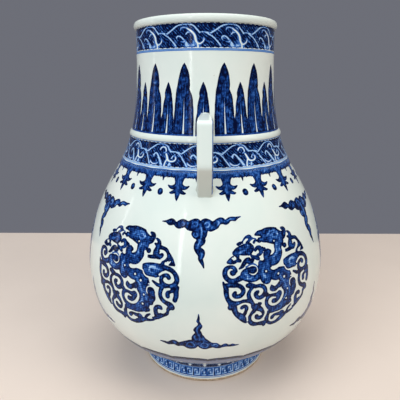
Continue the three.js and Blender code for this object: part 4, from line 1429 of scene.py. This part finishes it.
white_grooves = (
    [(13.4, 51.4, 2.6), (16, 48.8, 1.8), (18.8, 46.8, 0.9)],
    [(-9, 35, 2), (-4, 34.4, 3), (0.8, 32.6, 3.4), (2.2, 29.4, 3), (1, 26.2, 2.2), (-1.6, 24.8, 1)],
    [(-19, 46.6, 2.2), (-15, 46, 1.8), (-11, 45.6, 0.9)],
    [(-3.4, 10.2, 1), (0, 9.6, 4), (5, 10.4, 3.6), (10, 13.4, 3), (14.5, 18.5, 4), (17, 24, 4.4),
     (15.6, 29, 2.6)],
    [(-46, 26.4, 2), (-43.4, 26, 2.6), (-44, 28, 1)],
    [(-43, 10.6, 1.6), (-44.8, 8, 2.2), (-48.6, 6.8, 2.4), (-51.8, 9, 2.4), (-52.2, 12.6, 2.2),
     (-50, 14.9, 1.8), (-47.6, 14.4, 0.8)],
    [(-30, 9.4, 0.5), (-27, 7.5, 1.1), (-23.8, 7.2, 1.4), (-20.8, 9.2, 1.1), (-20, 12, 1),
     (-21.5, 15.4, 0.9), (-25, 16.6, 0.8), (-30, 15.6, 0.6)],
    [(33, 32.8, 1.6), (37, 31.8, 2.4), (39.5, 29, 3), (39.2, 25.5, 3), (36.2, 23, 2.8)],
    [(46.4, 22.4, 0.9), (43.4, 19.8, 2.4), (40.6, 20.4, 1.2)],
    [(15.6, 9, 1), (17.2, 5.4, 1.3), (20.5, 2.8, 1.3), (25, 2.2, 2), (30, 2, 2.4)],
    [(36, 7, 2.2), (40, 10, 2.4), (45, 10.6, 2), (49.5, 8.2, 2.2), (51.2, 4, 2.4), (49, 0.2, 2.4),
     (45, 0.2, 1.8), (42.4, 2.8, 1.2)],
    [(-5, -6.4, 2.4), (-1.4, -6.8, 5), (0.4, -9, 3.4)],
    [(-6, -17.4, 2.4), (-3, -17.6, 2), (2, -17.8, 2), (6.5, -15.6, 2.6), (10.6, -18.5, 2.4),
     (11.4, -23, 2.8), (8.4, -29, 3.4), (3, -32.4, 2.8), (-3, -32.2, 2.4), (-7, -28.6, 2.4),
     (-6.6, -24.8, 2), (-3, -23.6, 2.2), (-0.4, -24.6, 1)],
    [(31, -8.4, 1), (26.6, -7.2, 1.3), (23, -9, 1.3), (22, -13, 1.2), (23.4, -17, 0.7)],
    [(24, -5, 1.3), (29, -6.6, 1.6), (33, -10.5, 2.2), (34.5, -16, 2.4), (34.4, -22, 2.6),
     (31.8, -27, 3)],
    [(48.4, -7.2, 2.4), (44, -8.6, 2.6), (42.2, -12.6, 2.8), (43.2, -17, 2.8), (47, -19.6, 2.4),
     (50.6, -19.2, 1.8), (51.4, -15.6, 1.4)],
    [(42.8, -26.6, 2.8), (44, -32.6, 2.8), (41, -35.4, 2.8), (37, -34.2, 1.6)],
    [(9, -44, 1), (4, -43.6, 1.6), (-2, -44, 1.8), (-5, -47, 2), (-4.8, -51, 2.2), (-1.5, -53.4, 2.2),
     (3, -53.4, 2), (5.6, -51, 1.8), (3.2, -48.6, 1)],
    [(-16.8, -41, 2), (-19.4, -38.6, 2.8), (-23.4, -38.2, 2.4), (-26.6, -40.4, 2.4), (-27, -44, 2.4),
     (-24.6, -47.2, 2.4), (-20, -49, 2.2), (-15, -47.6, 2.4), (-12, -44, 2.6), (-10.8, -39, 3),
     (-13, -33.6, 2.8)],
    [(-31, -26.4, 2.4), (-33.6, -24.6, 1.8), (-38, -24, 1.8), (-42, -25.6, 2.4), (-43.6, -29.4, 2.4),
     (-41.8, -32.6, 2.4), (-38.2, -32, 1.4)],
    [(-31, -26.6, 2.6), (-31, -31, 2.4), (-32.6, -35, 2.2), (-33.4, -40, 1.8), (-32.8, -46, 1.6)],
    [(-43.4, -11, 1.4), (-42.6, -8, 2.8), (-46, -6.4, 2.6), (-50, -7.4, 2.4), (-52.4, -11, 2.4),
     (-51.4, -15.4, 2.6), (-47.6, -18.2, 2.6), (-41, -18.2, 2.4), (-36.6, -15, 2)],
    [(-20, -17, 1), (-18, -15.8, 2.2), (-16.4, -12.8, 2.6), (-19, -10, 2.6), (-24, -10, 2.4),
     (-27.6, -12.6, 2.4), (-28, -16.6, 2.6), (-25.6, -21, 2.4)],
    [(6, 2, 2.5)], [(14, -3.4, 2.8)], [(-9.8, 8, 2.3)], [(17, -30, 2.4)], [(5.4, 38.2, 1.9)],
    [(18.6, -18.6, 2.2)],
)
pale_strokes = (
    [(9.6, 36, 1.6), (7, 31, 1.2), (6, 25, 1.4), (1, 21, 1)],
    [(-34, 9, 2), (-32, 5, 3)],
    [(-12, 13, 1.4), (-14, 8, 1.6), (-11, 2, 2.4)],
    [(30, 13, 2), (24, 14, 1.2)],
    [(4, 4, 1), (10, -3, 1.4), (15, -12, 1.6), (17, -18, 1.4), (16, -26, 1.6), (9, -32, 1)],
    [(19, -10, 1), (21, -16, 1.4), (22, -24, 1)],
    [(2, 45, 1.4), (8, 47, 1.4), (13, 44, 1.2)],
    [(-38, 32, 1.2), (-33, 33, 1.8), (-28, 36, 1)],
    [(-3, 45, 1), (2, 49, 1.4), (9, 49, 1.4), (12, 45, 1.4), (9, 41.6, 1.2), (5, 43, 1)],
    [(34, 12, 1), (29, 15, 1.4), (24, 13.4, 1.4), (23.6, 9.6, 1.4), (28, 7.6, 1.2)],
    [(-34, 3.6, 1), (-30, 2.8, 1.4), (-26, 5, 1.2)],
)


def medallion():
    """The dragon medallion, dark strokes first and the white grooves cut through them."""
    sheet = Drawing(width=122, height=118, grain=0.85)
    for tone, stroke in dragon_strokes:
        sheet.ink([(u, v, width * brush_spread + brush_bleed) for u, v, width in stroke], tone)
    falling = np.sin(2 * math.pi * (sheet.u + sheet.v) / scale_pitch)
    rising = np.sin(2 * math.pi * (sheet.u - sheet.v) / scale_pitch)
    far_inside = np.clip((sheet.depth - scales_start_inside) / scales_full_after, 0, 1)
    sheet.tone += scale_contrast * (falling * rising) * far_inside
    for stroke in pale_strokes:
        sheet.shade(stroke, strength=-0.46, core=0.6, fade=1.6)
    for groove in white_grooves:
        sheet.spare(groove)
    return sheet


medallion_motif = medallion().skin("medallion_unit", medallion_level)
for number, (start, step) in enumerate(medallion_pairs, start=1):
    painted(f"medallions_{number}", medallion_motif, 2, motif_turn + math.radians(start), math.radians(step))

# The petal bands at the bottom: a dark scalloped line where the belly turns under, a
# pale wash below it, and petals that go on over the joint to the top of the foot.
# The part of these petals that nobody sees from the side is a guess.
# A greyed, duller copy of the cobalt as painted shade, for the shade under the belly on the petal bands and
# the foot petals.
cobalt_in_painted_shade = cobalt_blue("cobalt_greyed_by_painted_shade", darkest=(0.0040, 0.0062, 0.020),
                            middle=(0.044, 0.058, 0.120), wash=(0.22, 0.26, 0.40), palest=(0.62, 0.66, 0.76))
scallops_round = 21
scallop_level = 0.0740
scallop_turn = motif_turn + math.radians(2.8)
scallop_step = 2 * math.pi / scallops_round
scallop_pitch = arc_at(scallop_level, scallop_step)
half = scallop_pitch / 2
wash_bottom = -14
scallop_sheet = Drawing(scallop_pitch, height=24, grain=1.0, middle=(0, -3))
right_half = [(0, 6.1), (half / 2, 5.8), (half - 5, 4.9), (half - 1.4, 3.4), (half, 2.1), (half + 1, 2.9)]
scallop_line = [(-u, v) for u, v in right_half[:0:-1]] + right_half
scallop_area = scallop_sheet.area(scallop_line + [(half + 1, wash_bottom), (-half - 1, wash_bottom)])
scallop_sheet.lay(np.minimum(scallop_area, 0.7), tone=0.06)
# The broad dark line is partly the painted line and partly painted shade, for the shadow where the belly
# turns under.
for drop, width, tone in ((2.8, 5.4, 0.92), (7.2, 1.2, 0.40)):
    scallop_sheet.ink([(u, v - drop, width) for u, v in scallop_line], tone)
painted("belly_scallops", scallop_sheet.skin("scallop_unit", scallop_level), scallops_round,
        scallop_turn + scallop_step / 2, scallop_step, cobalt_in_painted_shade)

petals_round = 28
petal_turn = 2 * math.pi / petals_round
first_petal = petal_turn / 2
petal_level = 0.0600
petal_top = -15.4
petal_bottom = -60.4
petal_half = arc_at(petal_level, petal_turn) / 2
petal_sheet = Drawing(2 * petal_half, height=46, grain=1.3, middle=(0, -38))
petal_band = np.minimum(petal_top - petal_sheet.v, petal_sheet.v - petal_bottom)
petal_sheet.lay(np.minimum(petal_band, 1.8), tone=0.56)
petal_edge = ((petal_half - 3.4, -60, 1.2), (petal_half - 3.2, -28, 1.2),
              (petal_half - 5.0, -21, 1.2), (1.5, -17.4, 1.2))
petal_heart = ((0, -20, 1), (3, -24, 2.6), (4, -31, 3), (1.6, -36, 2.4), (0, -34, 1.4))
petal_curl = ((2, -41, 2), (5, -44, 2.4), (6, -50, 1))
petal_gap_widths = ((-14, 6.6), (-17, 4.0), (-21, 2.6), (-36, 2.0), (-62, 2.2))
petal_gap = [(petal_half, v, width) for v, width in petal_gap_widths]
for side in (-1, 1):
    petal_sheet.ink(on_side(side, petal_edge), tone=0.92)
    petal_sheet.ink(on_side(side, petal_heart), tone=0.95)
    petal_sheet.ink(on_side(side, petal_curl), tone=0.9)
    petal_sheet.spare(on_side(side, petal_gap))
petal_motif = petal_sheet.skin("petal_unit", scallop_level, radius_at(pot_outline, petal_level))
painted("belly_petals", petal_motif, petals_round, first_petal, petal_turn, cobalt_in_painted_shade)

# The foot: the bottoms of the petals at its top, a line, a hand-drawn key fret, and
# bare glaze above the rim that the vase stands on.
toe_level = 0.0220
toe_top = 8.9
toe_bottom = -0.4
toe_half = arc_at(toe_level, petal_turn) / 2
toe_sheet = Drawing(2 * toe_half, height=9.6, grain=0.6, middle=(0, 4.3))
toe_band = np.minimum(toe_sheet.v - toe_bottom, toe_top - toe_sheet.v)
toe_sheet.lay(np.minimum(toe_band, 0.7), tone=0.06)
toe_arch = [(-toe_half + 1.8, 0.8), (-toe_half + 2.6, 2.4), (-toe_half + 4.6, 3.6), (0, 4.4),
            (toe_half - 4.6, 3.6), (toe_half - 2.6, 2.4), (toe_half - 1.8, 0.8)]
toe_sheet.lay(np.minimum(toe_sheet.area(toe_arch), 1.2), tone=0.58)
toe_sheet.ink([(-toe_half, 0.1, 1.1), (0, 0.0, 1.1), (toe_half, 0.1, 1.1)], tone=0.44)
toe_line = ((toe_half - 4.6, 1.0, 0.7), (toe_half - 5.4, 2.6, 0.8), (0, 3.4, 0.8))
toe_gap_widths = ((9.4, 5.6), (6.0, 5.0), (3.0, 3.6), (1.0, 1.6))
toe_gap = [(toe_half, v, width) for v, width in toe_gap_widths]
for side in (-1, 1):
    toe_sheet.ink(on_side(side, toe_line), tone=0.80)
    toe_sheet.spare(on_side(side, toe_gap))
painted("foot_petals", toe_sheet.skin("foot_petal_unit", toe_level), petals_round, first_petal, petal_turn,
        cobalt_in_painted_shade)

fret_units = 20
fret_level = 0.0146
fret_step = 2 * math.pi / fret_units
fret_pitch = arc_at(toe_level, fret_step)
fret_cell = fret_pitch / 3
fret_half_height = 6.7
fret_key = ((-3.6, -4.9), (-3.4, 4.5), (2.9, 4.7), (3.0, -2.5), (-0.9, -2.8), (-1.1, 1.6), (1.0, 1.7))
fret_cells = (
    # where the key slipped to, and the tone of each of its strokes
    ((0.0, 0.2), (0.90, 0.45, 0.72, 0.42, 0.64, 0.34)),
    ((0.5, -0.3), (0.58, 0.40, 0.92, 0.50, 0.78, 0.45)),
    ((-0.4, 0.1), (0.80, 0.50, 0.54, 0.40, 0.90, 0.42)),
)
fret_sheet = Drawing(fret_pitch, height=14, grain=0.62)
fret_wash = 0.10 + 0.14 * np.sin(fret_sheet.u * 0.7) * np.sin(fret_sheet.v * 0.6)
fret_sheet.lay(np.minimum(fret_half_height - np.abs(fret_sheet.v), 1.5), fret_wash)
for number, ((aside, up), tones) in enumerate(fret_cells):
    middle = (number - 1) * fret_cell + aside
    corners = [(u + middle, v + up) for u, v in fret_key]
    for tone, start, end in zip(tones, corners, corners[1:]):
        fret_sheet.ink([(*start, 1.0 + 0.6 * tone), (*end, 0.7 + 0.6 * tone)], tone)
fret_sheet.ink([(-fret_pitch / 2, -5.7, 1.1), (0, -5.8, 1.0), (fret_pitch / 2, -5.7, 1.1)], tone=0.45)
painted("foot_key_fret", fret_sheet.skin("fret_unit", fret_level), fret_units, motif_turn, fret_step)
wheel_line("foot_rim_line", level=0.0066, width=1.0, tone=-0.1)

# The setting: a plain pale floor, raised like a table top, in a plain grey room, soft light
# from large lamps to the left, right and above, and the camera at the photograph's angle.
floor_size = (3.0, 0.908, 0.030)
floor_bevel = 0.004
floor_darker = (0.700, 0.600, 0.538)
floor_paler = (0.745, 0.643, 0.577)
floor_roughness = 0.9
fill_colour = (0.82, 0.85, 0.90)
fill_strength = 0.23
wall_colour = (0.153, 0.158, 0.186)


def pale_cloth():
    """Matt warm white, very slightly cloudy."""
    material = bpy.data.materials.new("pale_cloth")
    tree, shader = shaded(material)
    where = tree.nodes.new("ShaderNodeTexCoord").outputs["Object"]
    cloudy = noise(tree, where, scale=9.0, detail=3.0)
    colour = ramp(tree, cloudy, (0, floor_darker), (1, floor_paler))
    feed(tree, shader, {"Roughness": floor_roughness, "Base Color": colour})
    return material


slab = bmesh.new()
bmesh.ops.create_cube(slab, size=1.0)
bmesh.ops.scale(slab, vec=floor_size, verts=slab.verts)
bmesh.ops.translate(slab, vec=(0, 0, -floor_size[2] / 2), verts=slab.verts)
bmesh.ops.bevel(slab, geom=slab.edges[:], offset=floor_bevel, segments=3, profile=0.5, affect="EDGES")
floor_mesh = bpy.data.meshes.new("plain_floor")
slab.to_mesh(floor_mesh)
slab.free()
floor_mesh.materials.append(pale_cloth())
floor = shown("plain_floor", floor_mesh)


def soft_lamp(name, place, aim, size, power, colour, mirrored=False):
    """A rectangular lamp that faces a point. Only a mirrored one shows in the glaze."""
    data = bpy.data.lights.new(name, "AREA")
    data.shape = "RECTANGLE"
    data.size, data.size_y = size
    data.energy = power
    data.color = colour
    lamp = shown(name, data)
    lamp.location = place
    lamp.rotation_euler = (Vector(aim) - Vector(place)).to_track_quat("-Z", "Y").to_euler()
    lamp.visible_glossy = mirrored


cool = (0.91, 0.98, 1.0)
warm = (1.0, 0.95, 0.84)
near_white = (1.0, 0.99, 0.97)
white = (1.0, 1.0, 1.0)
soft_lamp("window_left", place=(-1.05, -1.25, 1.45), aim=(0, 0, 0.26),
          size=(1.1, 1.2), power=22.8, colour=cool)
soft_lamp("lamp_right", place=(1.25, -0.85, 1.25), aim=(0, 0, 0.24),
          size=(0.9, 1.0), power=13.0, colour=warm)
soft_lamp("ceiling", place=(0, -0.15, 1.9), aim=(0, 0, 0.2),
          size=(1.6, 1.6), power=19.4, colour=near_white)
soft_lamp("room_front", place=(0.15, -1.9, 1.0), aim=(0, 0, 0.30),
          size=(0.8, 0.8), power=4.5, colour=white)
soft_lamp("window_strip", place=(-0.68, -1.68, 0.78), aim=(0, 0, 0.33),
          size=(0.08, 1.3), power=2.4, colour=white, mirrored=True)
soft_lamp("side_strip", place=(-1.8, -0.05, 0.55), aim=(0, 0, 0.36),
          size=(0.06, 0.9), power=0.7, colour=white, mirrored=True)

room = bpy.data.worlds.new("grey_room")
room.use_nodes = True
air = room.node_tree
fill = air.nodes["Background"]
feed(air, fill, {"Color": (*fill_colour, 1), "Strength": fill_strength})
wall = add(air, "ShaderNodeBackground", {"Color": (*wall_colour, 1), "Strength": 1.0})
ray = air.nodes.new("ShaderNodeLightPath").outputs
seen = maths(air, "MAXIMUM", ray["Is Camera Ray"], ray["Is Glossy Ray"])
either = add(air, "ShaderNodeMixShader", {0: seen, 1: fill.outputs[0], 2: wall.outputs[0]})
feed(air, air.nodes["World Output"], {"Surface": either.outputs[0]})
bpy.context.scene.world = room

camera_distance = 0.5301
camera_height = 0.3837
camera_pitch = math.radians(16.60)
camera_yaw = math.radians(0.74)
camera_roll = math.radians(-0.12)
lens = bpy.data.cameras.new("camera")
lens.sensor_width = 36
lens.lens = 36
lens.clip_start = 0.01
camera = shown("camera", lens)
camera.location = (0, -camera_distance, camera_height)
facing = Euler((math.pi / 2 - camera_pitch, 0, camera_yaw))
facing.rotate_axis("Z", camera_roll)
camera.rotation_euler = facing
bpy.context.scene.camera = camera
bpy.context.scene.view_settings.view_transform = "Standard"
